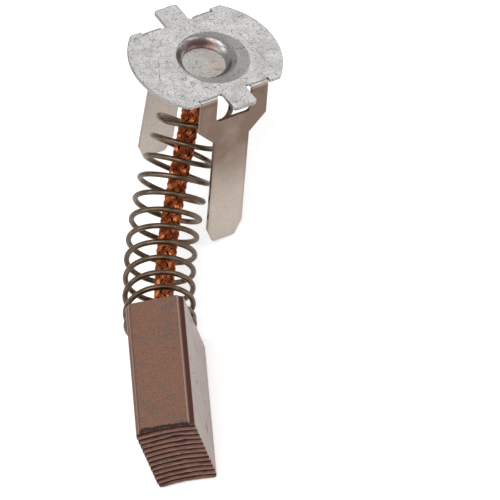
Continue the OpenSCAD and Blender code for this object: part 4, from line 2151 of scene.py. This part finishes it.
@dataclass(frozen=True)
class Lamp:
    """One soft lamp, aimed at the object."""

    name: str
    azimuth: float
    elevation: float
    distance: float
    size: float
    power: float

    def build(self, target: Vector) -> None:
        """Makes the lamp.

        Args:
            target: the place that it is aimed at, in metres.
        """
        back = back_toward(self.azimuth, self.elevation)
        data = bpy.data.lights.new(self.name, "AREA")
        data.shape = "DISK"
        data.size = self.size
        data.energy = self.power
        lamp = bpy.data.objects.new(self.name, data)
        lamp.location = target + back * self.distance
        lamp.rotation_mode = "QUATERNION"
        lamp.rotation_quaternion = (-back).to_track_quat("-Z", "Y")
        bpy.context.scene.collection.objects.link(lamp)


@dataclass(frozen=True)
class Studio:
    """White table under soft light."""

    aim: Triple = (0.006, 0.016, 0.008)
    floor_size: float = 3
    floor_z: float = -0.00002
    floor_tone: Colour = (0.8, 0.8, 0.8)
    floor_glow: float = 0.5
    floor_shine: float = 0.35
    sky: float = 0.45
    sky_shine: float = 0.5
    lamps: tuple[Lamp, ...] = (
        Lamp("top_lamp", -20, 75, 0.6, 0.5, 1.8),
        Lamp("back_lamp", 149.5, 26.8, 0.6, 0.38, 0.42),
        Lamp("right_lamp", 80, 30, 0.6, 0.4, 0.5),
        Lamp("left_lamp", -80, 35, 0.7, 0.4, 1.0),
    )

    def build(self) -> None:
        """Makes the table, the sky and the lamps, and sets the plain view transform."""
        for lamp in self.lamps:
            lamp.build(Vector(self.aim))
        self.build_floor()
        self.build_sky()
        bpy.context.scene.view_settings.view_transform = "Standard"

    def build_floor(self) -> None:
        """Makes the table: its own tone takes the shadow, and the rest of its white is seen only."""
        half = self.floor_size / 2
        mesh = bpy.data.meshes.new("table")
        corners = [(-half, -half, 0), (half, -half, 0), (half, half, 0), (-half, half, 0)]
        mesh.from_pydata(corners, [], [(0, 1, 2, 3)])
        floor = bpy.data.objects.new("table", mesh)
        floor.location.z = self.floor_z
        bpy.context.scene.collection.objects.link(floor)
        shade = Shade("white_table")
        rays = shade.add("LightPath").outputs
        mirrored = shade.math("MAXIMUM", rays["Is Glossy Ray"], rays["Is Transmission Ray"])
        glow = shade.math("MULTIPLY", rays["Is Camera Ray"], self.floor_glow)
        glow = shade.math("ADD", glow, shade.math("MULTIPLY", mirrored, self.floor_shine))
        material = shade.finish(
            Base_Color=self.floor_tone,
            Roughness=1.0,
            Specular_IOR_Level=0.0,
            Emission_Color=(1, 1, 1),
            Emission_Strength=glow,
        )
        mesh.materials.append(material)

    def build_sky(self) -> None:
        """Sets the even light from all round, which is whiter where it is seen or mirrored."""
        world = bpy.data.worlds.new("sky")
        world.use_nodes = True
        tree = world.node_tree
        rays = tree.nodes.new("ShaderNodeLightPath").outputs
        strength = None
        for name, more in (
            ("Is Camera Ray", 1 - self.sky),
            ("Is Glossy Ray", self.sky_shine - self.sky),
            ("Is Transmission Ray", self.sky_shine - self.sky),
        ):
            total = tree.nodes.new("ShaderNodeMath")
            total.operation = "MULTIPLY_ADD"
            tree.links.new(rays[name], total.inputs[0])
            total.inputs[1].default_value = more
            total.inputs[2].default_value = self.sky
            if strength is not None:
                tree.links.new(strength, total.inputs[2])
            strength = total.outputs[0]
        background = tree.nodes["Background"]
        background.inputs["Color"].default_value = (1, 1, 1, 1)
        tree.links.new(strength, background.inputs["Strength"])
        bpy.context.scene.world = world


def main() -> None:
    """Builds the studio and each piece in order, and reports them."""
    logging.basicConfig(level=logging.INFO, format="%(name)s: %(message)s")
    Camera().build()
    Studio().build()
    rest = RestPose()
    for part in (CarbonBlock(), TampedPlug(), BraidedShunt(rest), CoilSpring(rest), EndCap(rest)):
        piece = part.build()
        part.dress(piece)
        triangles = sum(len(face.vertices) - 2 for face in piece.data.polygons)
        log.info("%s: %d triangles", piece.name, triangles)


if __name__ == "__main__":
    main()
